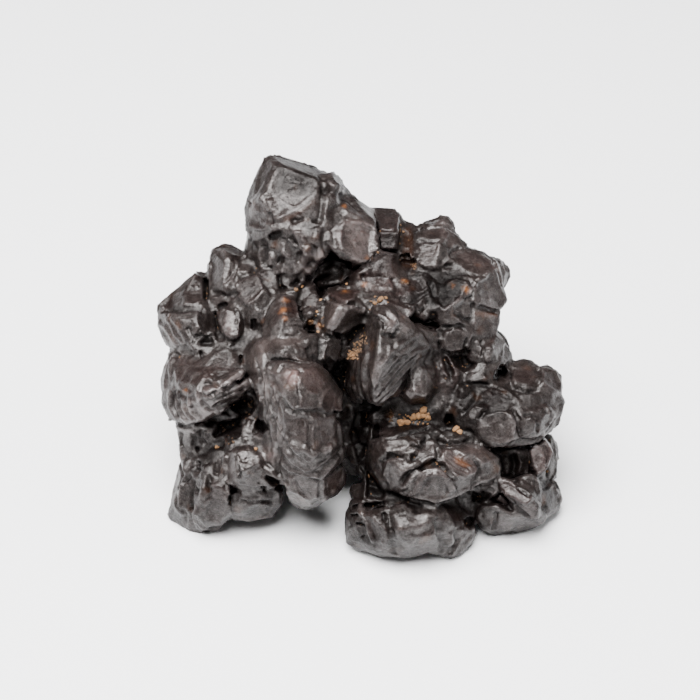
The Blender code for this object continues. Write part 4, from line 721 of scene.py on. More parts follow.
facet([(29.3, -32.6), (32, -33.3), (33, -35), (31.6, -36.3), (28.9, -36.3)], (0.05, 0), 0.05, 1.0)
facet([(33.2, -33.5), (35.6, -34), (37.8, -34.4), (36, -35.4), (33.6, -35.6)], (0.1, 0.1), 0.1, 0.3)
facet([(24.2, -27.6), (26, -26.5), (28.4, -26.3), (29.1, -27.1), (27.8, -27.6), (26.4, -27.5), (25, -28.2)],
      (-0.05, 0.15), 0.1)
hollow([(24, -28.8), (26.4, -28.6), (28.4, -28.2), (28.2, -29.6), (26.4, -30.8), (24.4, -30.4)], 1.4, -0.7, 0.5)
facet([(38.8, -28.2), (40.4, -26.6), (41.5, -28), (42, -30), (41.4, -31.4), (39.6, -33), (38.8, -31.6)],
      (0.1, 0), -0.1, 0.7)

fill([(34.4, -18), (39, -17), (40.4, -20), (39.4, -24), (36.6, -26), (35.4, -22)], 5, 0.6, 0.4, 0.8)
fill([(28.6, -28), (30, -27.6), (32.4, -30.6), (31, -32), (28.6, -30)], 6.5, 0.2, 0.4, 0.8)
hollow([(-30.8, 2), (-28.6, 3), (-26.8, 2), (-27.4, 0.4), (-30, 0.6)], 0.8, -0.6)
hollow([(18, -1.2), (19.4, -1), (21.4, -4.6), (20.4, -6.4), (18.6, -4.4)], 1.2, -0.6)
hollow([(17.2, 4.4), (19, 4.2), (18.8, 2.2), (17.2, 2.4)], 0.8, -0.6, 0.5)
hollow([(3.2, -23.6), (5.6, -25.4), (7.4, -28.6), (6.6, -30.6), (3, -29.8)], 1.6, -0.6)
for right, up, radius in ((-1.2, 28.6, 0.6), (3.6, 18.8, 0.6), (4.1, 18.1, 0.5), (-13.2, 10, 0.6), (-13.4, 8, 0.9),
                          (-13, 6.3, 0.7), (2.8, 13.2, 0.6), (-1.1, 11.9, 0.6), (10.7, 13.7, 0.6), (23.4, 12, 0.8),
                          (20.8, 13, 0.5), (-32.8, -8.1, 0.5), (-8, 5.6, 0.8), (-6.2, 4.8, 0.8), (8, -13, 0.8),
                          (12.8, 17, 0.5)):
    stain([(right - radius, up), (right, up + radius), (right + radius, up), (right, up - radius)],
          0.5, 0, 0.8, radius / 2)
stain([(25, 7.8), (29.4, 7.4), (29.4, 6.6), (25, 6.9)], 0.2, 0.5, 0.15, 0.3)
stain([(-13.6, 26.2), (-10, 27.9), (-7.4, 29.8), (-7.8, 28.7), (-10.6, 26.8), (-13.2, 25.2)], 0.4, 0.8, 0.08, 0.4)
hollow([(-12.2, 26), (-11.4, 26.9), (-10.2, 26.5), (-9.2, 26.9), (-9, 25.8), (-10.4, 25.2), (-11.6, 24.7)], 0.7, -0.5, 0.7)
fill([(28.6, -20), (31, -18.6), (35.6, -18.6), (36.8, -21), (36.4, -25.4), (33.4, -26), (30, -25.6)], 3, 0.1, 0.2, 1.2)

# Broad shades: larger areas of painted shade and painted light, making parts of the stone darker or paler than the
# lamps alone leave them.
for outline, shade in (([(-15.6, 39), (-9, 38), (-4.6, 35.8), (-5.6, 34.4), (-10.2, 35.8), (-14, 37.2)], -0.9),
                       ([(-3.4, 35.6), (-1.4, 34.6), (0.6, 31.6), (4.6, 28.6), (3, 28), (-0.6, 30.6), (-2.8, 33.4)], -0.7),
                       ([(-15.4, 37.6), (-10, 36.8), (-5.6, 35.2), (-6, 31), (-10, 30.4), (-15.4, 31)], -1),
                       ([(-9.6, 27.4), (-5.8, 28), (-5.8, 23.2), (-8, 22), (-9.4, 23.6)], -0.9),
                       ([(-1.8, 28.4), (5.4, 27.6), (5.6, 20), (3, 16.6), (-0.8, 17), (-1.6, 24)], 0.8),
                       ([(-13, 18.4), (-8, 20), (-3.4, 23), (-4, 18), (-6.4, 13), (-8, 12), (-10.4, 14.6)], 1.3),
                       ([(5.6, 26), (15.4, 25), (15.4, 20.4), (5.6, 19.8)], -0.5),
                       ([(17, 27.4), (19.6, 27.4), (23, 20.6), (32.4, 17), (31.4, 15), (22, 16.4), (17, 22)], 0.7),
                       ([(11, 16.4), (14, 17.6), (20, 16.6), (24.6, 16), (23, 11.8), (19, 7.4), (10.4, 8)], -0.9),
                       ([(23.6, 13.4), (30.6, 12.6), (30.8, 8), (29.4, 5.4), (24, 5.4)], 0.5),
                       ([(6.6, 8.4), (10, 8.8), (15.4, 7.6), (14.8, 5), (12, 2.4), (6.6, 2.6)], 0.8),
                       ([(-5.6, 10.8), (-2.6, 11.4), (2.8, 8.8), (2.6, 6), (-0.6, 2), (-5, 3)], 0.7),
                       ([(-21.6, -2), (-18.6, 3.2), (-9, 3.8), (-8.6, 0.2), (-15, 0.2), (-17.6, -5)], 1.1),
                       ([(-37, 5), (-34, 2), (-31.6, -1), (-32.6, -4), (-36, -3)], 0.7),
                       ([(-31, 3.6), (-27, 3.6), (-26.6, 0), (-30, -0.8)], -0.9),
                       ([(-25.6, 1), (-21.4, 3.6), (-18, 5.4), (-18.4, 3), (-22, -2.6), (-25.6, -3)], -0.5),
                       ([(-17, 16), (-13, 15), (-10.4, 13.6), (-11.4, 11.6), (-14.4, 11.4)], -0.8),
                       ([(-22, 14.4), (-18, 14), (-18.4, 11), (-22, 10.6)], -0.4),
                       ([(-28, 11.4), (-23, 11.6), (-23.4, 9), (-27, 8.4)], 0.7),
                       ([(-35, -11), (-30, -7), (-22, -3.6), (-18.6, -8), (-24, -11.8), (-27, -16.4), (-34.4, -18.4)], 0.9),
                       ([(-19.4, -3), (-10, -2.6), (-3, -5), (-1.2, -12), (-6, -12), (-11.4, -8.4), (-18.4, -11)], 0.6),
                       ([(-16, -11), (-13, -12), (-12.4, -20), (-14.6, -23), (-18.6, -21.6), (-16, -17)], 0.7),
                       ([(-8, -12), (-3, -13), (-1.4, -22), (-1.6, -28.4), (-5.6, -28.6), (-6, -20)], 0.5),
                       ([(-31, -19.4), (-27, -17.4), (-22, -16.2), (-20.8, -18.4), (-25, -21.4), (-28, -25), (-32, -24)], -0.8),
                       ([(-36.6, -34), (-34, -24), (-29, -24), (-25, -26), (-24.6, -34), (-31, -35)], -0.4),
                       ([(-21.4, -30.6), (-15, -30), (-14.6, -33.4), (-21.4, -33.6)], -0.6),
                       ([(0, -20), (2, -13), (4.4, -15), (3.6, -21), (6.6, -27), (7, -31), (2.6, -30)], -0.7),
                       ([(-0.8, -33), (4, -31), (14.4, -30.4), (15, -34), (10, -40), (0, -40)], -0.5),
                       ([(7.6, -11), (18, -10.4), (26, -13.4), (26.6, -18), (14, -18.6), (8, -18)], -0.9),
                       ([(17.6, -0.4), (20.4, -1), (21.6, -5), (27, -2.4), (29, -6.6), (38.4, -6.4), (37, -9.4), (32, -13.4),
                         (26, -15), (20, -12.6), (18.4, -7)], -0.9),
                       ([(24, -18.6), (32, -17.6), (39.4, -17.4), (38, -22), (32, -21.4), (26, -23.4), (17, -22.4), (18, -20)], 0.7),
                       ([(26, -26.4), (29.4, -26.4), (32.2, -30), (30, -32), (26, -29.4)], 1),
                       ([(36.6, -26), (40.6, -25.6), (42.6, -29), (41, -32.8), (36.6, -33.4)], -1.3),
                       ([(29.6, -26), (37, -27), (36.4, -31), (33, -29.6)], -0.5),
                       ([(36.4, -12.4), (41, -12.4), (40.6, -16.6), (36.6, -17)], -0.5),
                       ([(3.4, -0.6), (8.4, -0.8), (8, -4.6), (5.6, -8.6), (3.4, -8.4)], 0.6),
                       ([(2, -9), (4, -8), (10.6, -7), (13, -6), (16.2, -2), (18, -7.4), (15, -10.8), (7, -12.4)], 0.7),
                       ([(-15.6, 0), (-14, -8), (-1, -7), (-1.4, -12.4), (-4.4, -11.4), (-6, -4), (-2, 0)], 0.4),
                       ([(-14.6, -26.4), (-12.4, -26.4), (-12.6, -29.4), (-5, -33.6), (-4, -31), (-14.6, -31)], 0.7),
                       ([(-6, -25), (-1, -23), (0.8, -26), (-2, -28.6), (-6, -29.4)], 0.6),
                       ([(-1, 18.4), (4.4, 18.4), (4, 14.6), (-1, 14)], 1.2),
                       ([(7.4, 19.4), (10.8, 19.4), (10.6, 12.4), (6, 13.4)], 0.8),
                       ([(-9.6, 16), (-6, 21), (-3, 21), (-4.6, 15), (-5.4, 12), (-8, 12.4)], 1.2),
                       ([(-0.6, 9), (3.6, 8.8), (3, 5.4), (-0.6, 5.6)], 0.9),
                       ([(11.6, 8), (15.8, 7.8), (15.4, 4.8), (12, 4.8)], 0.7),
                       ([(-5, -7.4), (-0.6, -7.4), (-0.8, -13), (-4.4, -13)], 0.9),
                       ([(-24.4, -4), (-18, -4.6), (-12, -6.4), (-11.4, -10), (-19, -12), (-24.4, -10.4)], 0.6),
                       ([(-18.6, -18.6), (-14, -18.6), (-14.4, -22.4), (-18.6, -22.4)], 0.8),
                       ([(-15.6, -25.6), (-12, -25.6), (-12, -30), (-15, -30)], 0.7),
                       ([(15, 16.4), (24, 16), (24, 11), (20, 10), (18, 7), (14.6, 7)], -0.7),
                       ([(-1, -35), (7, -37), (7.4, -41.4), (-1, -41)], -0.5),
                       ([(-37, -30), (-34, -30), (-33.4, -35.4), (-37, -35)], -0.6),
                       ([(13, -25), (18, -24.6), (19, -28), (15, -28.8)], -0.4),
                       ([(-12, -4), (-6, -4.6), (-5, -10), (-10, -10)], -0.4)):
    stain(outline, shade, rim=1.8)

pale = softened(pale, edges, 2)
warm = softened(warm, edges, 3)
rust = softened(rust, edges, 2)
move_points(stone.data, skin)
outward = normals_of(stone.data)
skin_tree = tree_of(skin, stone.data)

# Pores, lumps and fine growth lines roughen the whole stone, less so on the
# flat crystal faces.
rough = np.zeros(len(skin))
for size, seed, height in ((7, 1, 0.3), (3.4, 2, 0.22), (1.7, 3, 0.12)):
    rough += height * field(size, seed)
creases = np.abs(field(4.4, 5))
rough -= 0.22 * np.clip(1 - creases / 0.16, 0, 1)
creases = np.abs(field(2.1, 9))
rough -= 0.1 * np.clip(1 - creases / 0.2, 0, 1)
pits = field(1.5, 6)
rough -= 0.3 * np.clip(pits - 0.36, 0, 0.3) / 0.3
far_side = 1 - softened(shown.astype(float), edges, 12)
warp = field(9, 7)
growth = np.sin((skin[:, 2] + 0.55 * skin[:, 0]) / MM * 2.2 + warp * 9)
bands = np.clip(field(14, 8) * 3 + 0.4, 0, 1)
rough += 0.1 * growth * bands * far_side
pale += 0.08 * field(2.4, 11) + 0.06 * field(1.1, 12)
pale += 0.25 * far_side * field(7, 13)
warm += np.clip(field(8, 14) * 1.6 - 0.1, 0, 0.6) * (0.3 + 0.7 * far_side)
# Skin facing up is painted paler and skin facing down darker: painted light from above.
pale += 0.1 * (softened(outward, edges, 4)[:, 2] - 0.3)
rust += np.clip(field(2.6, 15) - 0.5, 0, 1) * 0.3

# Growth lines and edges.
# Crown.
ridge([(-13.9, 37.4), (-15.6, 34), (-16.2, 31.6), (-18.6, 30)], 0.9, 0.25, 0.25)
ridge([(-19.6, 29.8), (-18.6, 28), (-20.2, 27.6)], 0.8, 0.25, 0.4)
ridge([(-13.9, 25.6), (-12.5, 27.2), (-10.6, 28), (-9, 29.3), (-7.3, 30.7), (-6.6, 32.4)], 1, 0.35, 0.3)
groove([(-5.6, 34.6), (-5.2, 32.2), (-5.6, 29.9), (-6, 27.2), (-6.7, 25.2)], 0.9, 0.5)
ridge([(-4.3, 31.8), (-4.6, 29.9), (-5, 28), (-5.4, 26.2)], 0.8, 0.3, 0.3)
ridge([(-12.8, 35), (-11.4, 33.8), (-9.4, 33.4)], 0.9, 0.25, 0.2)
groove([(-16.2, 27.6), (-15.8, 26.2), (-14.8, 25)], 0.7, 0.4)
ridge([(-18, 25.8), (-16, 24.9), (-14.4, 24.6)], 0.8, 0.25, 0.2)
ridge([(-12.4, 24.6), (-11, 24), (-9.6, 22.6), (-8.8, 21)], 0.9, 0.3, 0.25)
ridge([(-6.8, 24.6), (-7, 22.4), (-6.4, 20.4)], 1, 0.3, 0.2)
ledge([(-20.4, 24.6), (-17.4, 24), (-14.6, 25.6), (-12.8, 27.2)], 1.4, 0.3, 0.15)
ridge([(-6.2, 34), (-3.6, 33), (0.4, 31.4), (1.4, 30)], 0.9, 0.25, 0.2)
ridge([(-5.8, 30.6), (-3.4, 29.6), (-0.6, 27.6), (3, 26)], 0.9, 0.25, 0.2)
groove([(-6, 32.4), (-3, 31.4), (0, 29.6), (2.4, 27.6)], 0.9, 0.4)
ridge([(4.8, 24.8), (4.6, 22), (4.4, 19.4)], 0.8, 0.25, 0.3)
ridge([(-1.4, 25.6), (2.6, 25.3), (4.6, 24.2)], 0.8, 0.25, 0.35)
ridge([(-1.9, 24), (-2, 21.4), (-1.4, 19.4)], 0.8, 0.25, 0.25)
groove([(-4.8, 24.4), (-5.4, 22), (-4.4, 19)], 0.8, 0.4)
for place in ((-17, 27.4), (-15, 28.4), (-11.4, 32.6), (-9, 33.4), (1, 21.6), (2.4, 23.4), (7.6, 25.4), (-9.4, 22.4)):
    bump(*place, 0.7, 0.18, 0.3)

# Column.
groove([(-16.2, 22.6), (-14.4, 23), (-12.6, 23.6)], 0.7, 0.3)
ridge([(-16, 19.9), (-15.5, 18), (-16, 16.6)], 1, 0.5, 0.3)
ridge([(-13.5, 22.2), (-13.1, 19.8), (-12, 18.4), (-12.4, 17.2)], 1, 0.5, 0.35)
ridge([(-13.9, 15.2), (-13.1, 16.6), (-11, 16.6), (-10.2, 15.2)], 1.1, 0.5, 0.35)
ridge([(-17.5, 21.4), (-17.9, 18.3), (-17, 15.6)], 0.9, 0.4, 0.2)
ridge([(-9, 21), (-8.6, 19), (-9.2, 16.8), (-8, 15.2)], 1, 0.5, 0.25)
groove([(-17, 21), (-16.7, 18.6), (-17, 16.4)], 0.7, 0.4, -0.3)
groove([(-7.4, 21), (-7.2, 18.4), (-8, 16.4)], 0.8, 0.4, -0.3)
ridge([(-9.6, 14.2), (-9, 13), (-8.4, 12.2)], 0.7, 0.25, 0.4)
groove([(-17.4, 13.8), (-16, 12), (-15.2, 10.8)], 0.7, 0.3)
bump(-14.7, 15.5, 0.7, 0.2, 0.4)
bump(-13.2, 19.7, 0.8, 0.2, 0.3)
bump(-17.2, 14.6, 0.5, 0.2, 0.7)

# Left crest.
groove([(-37.6, 8.4), (-34, 8.1), (-31, 8.4), (-29, 8)], 1, 0.6, -0.4)
ridge([(-38.2, 6.2), (-38, 5.2), (-36.8, 4.3), (-36, 3), (-35.3, 1.6), (-34.4, 0.6)], 0.7, 0.35, 0.4)
ridge([(-36.8, 6.4), (-35.8, 5), (-35, 3), (-33.8, 1.8), (-33, 0.6)], 0.6, 0.3, 0.35)
ridge([(-36, 6.6), (-34.6, 5), (-33.6, 3.4), (-32.6, 1.4)], 0.6, 0.3, 0.3)
groove([(-31.4, 2.3), (-29.6, 2.8), (-27.2, 2.5)], 0.7, 0.5)
groove([(-32.6, 4.8), (-31.8, 3), (-31.4, 1)], 0.6, 0.4)
ridge([(-30.7, 5.1), (-30, 4.1)], 0.6, 0.25, 0.6)
ridge([(-33.2, 11), (-32.9, 9.6), (-32.8, 8.8)], 0.6, 0.25, 0.35)
ridge([(-38, 8.9), (-36, 11.6), (-33, 14)], 0.6, 0.15, 0.2)
for place in ((-30.6, 14), (-30.8, 12.6), (-30.4, 9.6), (-31.6, 3.6)):
    bump(*place, 0.6, 0.2, 0.5)

# Left horn.
ridge([(-26.6, 20.2), (-25.6, 20.1), (-24.6, 18.8), (-24, 17.6), (-24, 16.4), (-24.6, 15.2), (-25.8, 14), (-27, 12.4)],
      0.7, 0.3, 0.5)
ridge([(-22.6, 18), (-22.6, 16.4), (-23, 15), (-24.6, 12.8), (-25.2, 11.6)], 0.7, 0.35, 0.4)
ridge([(-25.4, 19.8), (-23.4, 19), (-21.6, 18.6), (-20.8, 18.8)], 0.6, 0.2, 0.25)
groove([(-28, 11.5), (-26, 11), (-24.6, 10.4), (-23.2, 11.2), (-22.4, 12)], 0.7, 0.55, -0.35)
ridge([(-17.2, 12.2), (-18.6, 10.4), (-20, 8.6)], 0.7, 0.3, 0.3)
ridge([(-19.8, 7.8), (-18.4, 7.9), (-17.4, 7.2), (-18.6, 6.8)], 0.7, 0.3, 0.4)
groove([(-26.5, 8.3), (-25, 8.9), (-23.8, 8.5), (-22.8, 7.6), (-22.7, 5)], 0.6, 0.4, -0.3)
ridge([(-25.2, 5.4), (-24, 4.4), (-23, 3.8)], 0.5, 0.15, 0.25)
bump(-22, 5, 0.4, -0.15, -0.3)
groove([(-22.4, 14.6), (-21, 15), (-19.4, 15.6), (-18.6, 17)], 0.7, 0.4)

# Strata at the left: fine raised bands and three thin blades.
ridge([(-36, -2), (-36.8, -5), (-37, -8)], 0.7, 0.4, 0.5)
ridge([(-35.4, -1), (-36, -4), (-35.8, -6.4)], 0.6, 0.35, 0.4)
ridge([(-34.8, -4), (-34.6, -6.6)], 0.5, 0.25, 0.3)
groove([(-35.4, -0.7), (-34, -1.4)], 0.6, 0.6)
for i in range(4):
    ridge([(-34 + 1.9 * i, -3 - 0.5 * i), (-35 + 1.9 * i, -4.4 - 0.5 * i), (-35.6 + 1.9 * i, -5.8 - 0.4 * i)], 0.5, 0.15, 0.2)
ridge([(-28, -3.6), (-29, -5), (-29.6, -6)], 0.4, 0.15, 0.35)
ridge([(-27.4, -4.6), (-28.6, -5.8)], 0.4, 0.15, 0.3)
ridge([(-25.4, -7.4), (-24, -6.3), (-22.4, -5), (-21.2, -4.1)], 1.0, 0.7, 0.35)
groove([(-25.4, -8), (-23.6, -7), (-21.6, -5.7)], 0.5, 0.7, -0.5)
ridge([(-25, -8.7), (-23, -7.8), (-21, -6.8), (-20, -5.9)], 0.9, 0.6, 0.25)
groove([(-25.6, -9.4), (-23, -8.6), (-20.6, -7.6)], 0.5, 0.6, -0.4)
groove([(-29.8, -6.4), (-27.6, -6.6), (-26, -7.2)], 0.6, 0.5)
groove([(-30, -8.9), (-28, -9), (-26.6, -8.2)], 0.5, 0.4)
for path, shine in (([(-35.9, -8), (-36, -11), (-35.4, -12.6)], 0.3),
                    ([(-36, -7.6), (-36.2, -11.6), (-34.6, -13.8)], 0.25),
                    ([(-34.9, -9), (-34.8, -11.6), (-33.8, -13.4), (-32.6, -14.4)], 0.35),
                    ([(-33.4, -9.6), (-33.6, -11.4), (-32.8, -13.2), (-31.4, -14)], 0.3),
                    ([(-32, -8.6), (-32.4, -10.4), (-31.8, -12.6), (-30, -14)], 0.35),
                    ([(-30.4, -6.8), (-30.6, -9), (-30, -11), (-28.6, -12.6)], 0.5),
                    ([(-29.8, -10.6), (-28.4, -12), (-27.6, -12.8)], 0.4)):
    ridge(path, 0.55, 0.25, shine)
    groove([(a + 0.75, b + 0.1) for a, b in path], 0.45, 0.2, -0.2)
ridge([(-28, -12), (-26, -12.8), (-23.8, -13.4), (-22, -13.2)], 0.6, 0.35, 0.3)
ridge([(-37.4, -12.6), (-36, -14), (-34.6, -15.2), (-33, -16), (-31, -16)], 0.6, 0.3, 0.35)
groove([(-33.6, -16.4), (-34, -18), (-33.6, -19.6)], 0.5, 0.4, -0.25)
groove([(-31.4, -16.8), (-30.8, -18), (-31.4, -19.4)], 0.6, 0.4, -0.3)
groove([(-29.6, -15.8), (-29.8, -17.6), (-28.6, -19)], 0.5, 0.3, -0.25)
ridge([(-29, -16), (-28.8, -17.8)], 0.5, 0.3, 0.3)
ridge([(-27, -14.6), (-26.9, -16.9)], 0.5, 0.35, 0.45)
ridge([(-21.4, -14), (-21.2, -16.4), (-21, -18.6)], 0.6, 0.35, 0.35)
ridge([(-20, -13.8), (-20.5, -15.4), (-19.8, -16.9)], 0.5, 0.25, 0.4)
ridge([(-19.4, -17), (-18.4, -17.8), (-17.4, -18)], 0.5, 0.25, 0.5)
ridge([(-18.8, -8), (-17.8, -10.2)], 0.7, 0.3, 0.3)
for place in ((-24.2, -17.4), (-23.2, -18.2), (-22.2, -17.8), (-23.6, -19), (-31.2, -16.5), (-20.6, -17.6)):
    bump(*place, 0.55, 0.3, 0.5)

# Left foot.
ridge([(-32.8, -25.4), (-33.6, -27), (-34, -29), (-34, -31.6)], 0.7, 0.4, 0.5)
ridge([(-34.8, -28.6), (-35, -31), (-34, -32.4), (-32.6, -33)], 0.6, 0.3, 0.35)
ridge([(-32.2, -31.6), (-32, -34), (-32.2, -36.2)], 0.6, 0.35, 0.35)
groove([(-34.2, -22), (-33.6, -25), (-34.4, -28)], 0.5, 0.4)
groove([(-30.7, -22.3), (-29.5, -23)], 0.4, 0.5)
groove([(-31.1, -23.7), (-29.5, -24.2)], 0.4, 0.5)
ridge([(-30.4, -21.6), (-29.6, -22.6), (-29.4, -24)], 0.5, 0.25, 0.5)
groove([(-31, -27.9), (-30, -28.8)], 0.6, 0.4)
groove([(-31.2, -25.8), (-31.6, -29), (-31.6, -32.4)], 0.5, 0.5)
ridge([(-28, -24.6), (-29, -26.6), (-29.6, -28.8), (-30.6, -31), (-31, -33.4), (-30.4, -35.8)], 0.7, 0.4, 0.4)
ridge([(-29.4, -28.4), (-29.6, -30), (-28.8, -31.2)], 0.6, 0.3, 0.5)
ridge([(-31.2, -32), (-30.8, -34), (-29.6, -35.6), (-27, -36), (-25.6, -35.4), (-25, -34.8)], 0.6, 0.3, 0.35)
ridge([(-29.6, -32.6), (-28.8, -31.8)], 0.5, 0.2, 0.6)
groove([(-28.3, -24.8), (-28.1, -27), (-28.1, -30)], 0.5, 0.5)
groove([(-33.6, -26.8), (-32.4, -25.8), (-31.6, -25)], 0.5, 0.4)
groove([(-22.8, -20.4), (-22.8, -22), (-22.4, -24), (-21.8, -25.6)], 0.5, 0.5, -0.4)
groove([(-22, -22), (-20.8, -22.2), (-20.4, -21.4)], 0.4, 0.2, -0.3)
ridge([(-25, -26.2), (-22.8, -26.8), (-21, -26.6), (-19, -27.2), (-17.6, -26.8)], 0.5, 0.3, 0.4)
ridge([(-18, -22.6), (-16, -24), (-14, -26)], 0.5, 0.2, 0.3)
ridge([(-22.6, -33.4), (-20.4, -34), (-17, -33.4), (-15.6, -32.4), (-14.2, -31.4)], 0.6, 0.3, 0.35)
groove([(-22.2, -30.2), (-20, -30.5), (-17.6, -30.4), (-15, -30.4)], 0.5, 0.4, -0.3)
groove([(-14.2, -20), (-14.8, -23), (-14, -25.6)], 0.7, 0.5)
for place in ((-26.8, -24.2), (-25.8, -25), (-27.4, -22.6), (-26, -22), (-30.2, -27.1)):
    bump(*place, 0.6, 0.25, 0.4)

# Front lobe: thin ribs fall from the shoulder, and steps cross its foot.
for shift, top, bottom, depth in ((0, -1.4, -21, 0.3), (0.7, -3.4, -17, 0.16), (1.7, -2.6, -25, 0.28),
                                  (2.3, -7, -19, 0.14), (3.1, -6.6, -22, 0.22), (4.3, -9, -18, 0.18)):
    path = [(-18.8 + shift + 0.16 * (top - height) + 0.25 * math.sin(height + 2 * shift), height)
            for height in np.arange(top, bottom, -1.5)]
    groove(path, 0.45, depth, -0.7 * depth)
    ridge([(a + 0.45, b) for a, b in path], 0.4, 0.4 * depth, 0.5 * depth)
ridge([(-16.8, -6.4), (-14, -8), (-12.4, -10), (-11, -12.4)], 0.7, 0.25, 0.3)
ridge([(-15.6, -12), (-14, -15), (-13, -17.4), (-12.4, -18)], 0.7, 0.35, 0.4)
groove([(-13.2, -11.2), (-11, -12.5), (-8, -12.4), (-6.2, -12.2), (-4.8, -13)], 0.6, 0.5, -0.35)
groove([(-4.8, -13), (-3.2, -12.6), (-1.6, -12.6)], 0.5, 0.4)
groove([(-13.4, -2.8), (-14.6, -4.6)], 0.4, 0.35)
groove([(-9.8, -3.8), (-10.4, -6), (-10.2, -9), (-10.6, -11.6)], 0.5, 0.35, -0.25)
ledge([(-12.4, -18.4), (-10.4, -20.4), (-8.4, -22), (-6.8, -22), (-3.6, -19.6), (-2.4, -17.6)], 1.3, 0.45, 0.25)
ledge([(-13.4, -20), (-11, -22.6), (-8.8, -24), (-7.6, -23.8), (-5, -22), (-2.2, -19.4)], 1.2, 0.45, 0.25)
ledge([(-14, -22), (-12, -24), (-9, -25), (-5.6, -25.4), (-2, -21.4)], 1.2, 0.45, 0.25)
ridge([(-2.4, -27.8), (-4.4, -29.4), (-6, -30.4)], 0.7, 0.3, 0.3)
ridge([(-2.2, -14.4), (-1.8, -17), (-1.6, -20), (-1.2, -23)], 0.6, 0.25, 0.2)
groove([(-8.3, -14.6), (-8.4, -17), (-7.8, -20.4)], 0.4, 0.2, -0.15)
ridge([(-7, -13.4), (-6.5, -14.6), (-6.4, -15.6)], 0.4, 0.12, 0.4)
ridge([(-9, -14.8), (-8.4, -15.8)], 0.4, 0.12, 0.35)
groove([(-11, -25.6), (-10.4, -27.4), (-9.2, -29.4)], 0.4, 0.2)
for place in ((-11.6, -5.2), (-8, -8.6), (-5.6, -17), (-9.6, -27.2), (-4.2, -24.6)):
    bump(*place, 0.8, 0.14, 0.2)

# Middle.
ridge([(-1.4, 8.8), (-2.8, 6.4), (-4.4, 3.8)], 0.8, 0.4, 0.6)
ridge([(0.2, 9), (1.6, 8), (3, 7.4)], 0.6, 0.3, 0.5)
ridge([(-5.8, 10), (-3.8, 10), (-2, 9.1), (-1.4, 8.8)], 0.6, 0.25, 0.35)
ridge([(-5.8, 2.4), (-5.4, 1)], 0.5, 0.2, 0.4)
groove([(-5.9, 2.8), (-5.8, 0), (-6.2, -2.2), (-4.8, -3)], 0.6, 0.6)
groove([(-8.6, 0.6), (-8, -1.4), (-6.6, -2)], 0.6, 0.4)
groove([(-10.3, 10), (-9.8, 7), (-8.8, 5.4)], 0.6, 0.6, -0.4)
groove([(-6.6, 8.2), (-5.8, 9.6), (-4.6, 10.6), (-2, 9.8), (0.4, 9.4), (3, 8.2)], 0.7, 0.6, -0.4)
groove([(-1.2, 2), (-1, 0.2), (-1.6, -1.6)], 0.6, 0.7)
groove([(-3.6, 3.2), (-2, 3), (-0.8, 2.2)], 0.6, 0.6)
ridge([(-12.6, 5.2), (-10.6, 5.4), (-9.2, 5)], 0.5, 0.2, 0.3)
groove([(2.4, 15.4), (2.8, 13.2), (3.6, 11.6)], 0.6, 0.3)
groove([(8.4, 14.6), (9.4, 12.6), (9, 10.8)], 0.6, 0.35)
ridge([(12.2, 5.6), (13.6, 8), (14.8, 10.4)], 0.6, 0.3, 0.4)
groove([(9.6, 10.2), (12.6, 9.6), (14.6, 11.2), (16, 12)], 0.6, 0.4)
for place in ((6.4, 12.6), (8.6, 12.4), (3.6, 10), (-2.2, 12.4), (1.4, 11.2), (11.6, 11.6)):
    bump(*place, 0.9, 0.22, 0.3)
bump(-8, 7.2, 1.3, 0.5, 0.2)

# Shell: curved steps round it, and ribs across its foot.
groove([(4.4, 6.5), (6, 6.5), (7, 6.2), (7.1, 4.8), (6.4, 4)], 0.5, 0.6, -0.4)
ledge([(14.6, 3.6), (12.4, 2.6), (9.6, 1), (7.4, -1), (5.8, -3.4)], 1.2, 0.3, 0.2)
ledge([(13.4, 2.2), (9.4, -1.4), (6.2, -5.4)], 1.0, 0.3, 0.2)
ledge([(14, 0.4), (10, -3), (6.6, -7), (4.4, -10.4)], 1.0, 0.3, 0.2)
ledge([(14, -1), (11, -4), (8, -7.6), (4.8, -10.6)], 0.9, 0.3, 0.2)
ledge([(13.6, -2.2), (11.4, -4.6), (8.6, -8.4), (5.4, -11)], 0.8, 0.3, 0.2)
ledge([(3.4, 0), (2.4, -4), (2.8, -7.4), (4, -10.6)], 0.9, 0.3, 0.2)
ledge([(1.8, -2), (1.4, -6), (2.2, -9.6)], 0.8, 0.25, 0.15)
ledge([(0.4, -4), (0.6, -7), (1.8, -10)], 0.8, 0.25, 0.15)
ridge([(8.2, 1.2), (7.6, -0.6), (6.9, -2.2)], 0.5, 0.25, 0.3)
groove([(9.6, 5.8), (9.6, 4), (9, 3), (7.4, 2.8), (6, 3.2)], 0.5, 0.5, -0.3)
bump(5.1, -8.7, 0.6, 0.25, 0.8)
bump(4.1, -11, 0.8, 0.3, 0.3)

# Right blocks.
ridge([(14, 23.9), (16.4, 24.7), (18.4, 25.4), (19, 25.2), (20.6, 24)], 0.6, 0.3, 0.45)
ridge([(18.6, 26.5), (19.6, 26), (20.6, 24.8), (21, 24)], 0.6, 0.3, 0.35)
groove([(13.4, 24), (17, 24.5), (19, 24.8), (20.2, 23.9), (22, 22.8), (23, 21)], 0.4, 0.4, -0.35)
groove([(13.2, 21.6), (15.4, 21.9), (18, 21.8)], 0.5, 0.35, -0.2)
ridge([(18.1, 21.2), (17.6, 19), (17, 17), (16.6, 15.8)], 0.6, 0.3, 0.35)
ridge([(19.7, 23.6), (19.1, 22.4), (18.5, 21.4)], 0.5, 0.25, 0.3)
groove([(22.2, 20.6), (20.8, 20), (20.2, 19.2), (20.6, 18.4)], 0.5, 0.45, -0.4)
groove([(18.8, 16.5), (19.8, 17), (20.6, 16.6)], 0.5, 0.4)
ridge([(26.4, 14.3), (25.2, 14.1), (24.2, 14.2), (22, 14.8)], 0.5, 0.25, 0.5)
ridge([(27.7, 15.5), (26.8, 14.6)], 0.5, 0.25, 0.6)
ridge([(25.3, 13.7), (24.6, 12.6), (24.2, 11.3), (23.8, 11)], 0.6, 0.3, 0.7)
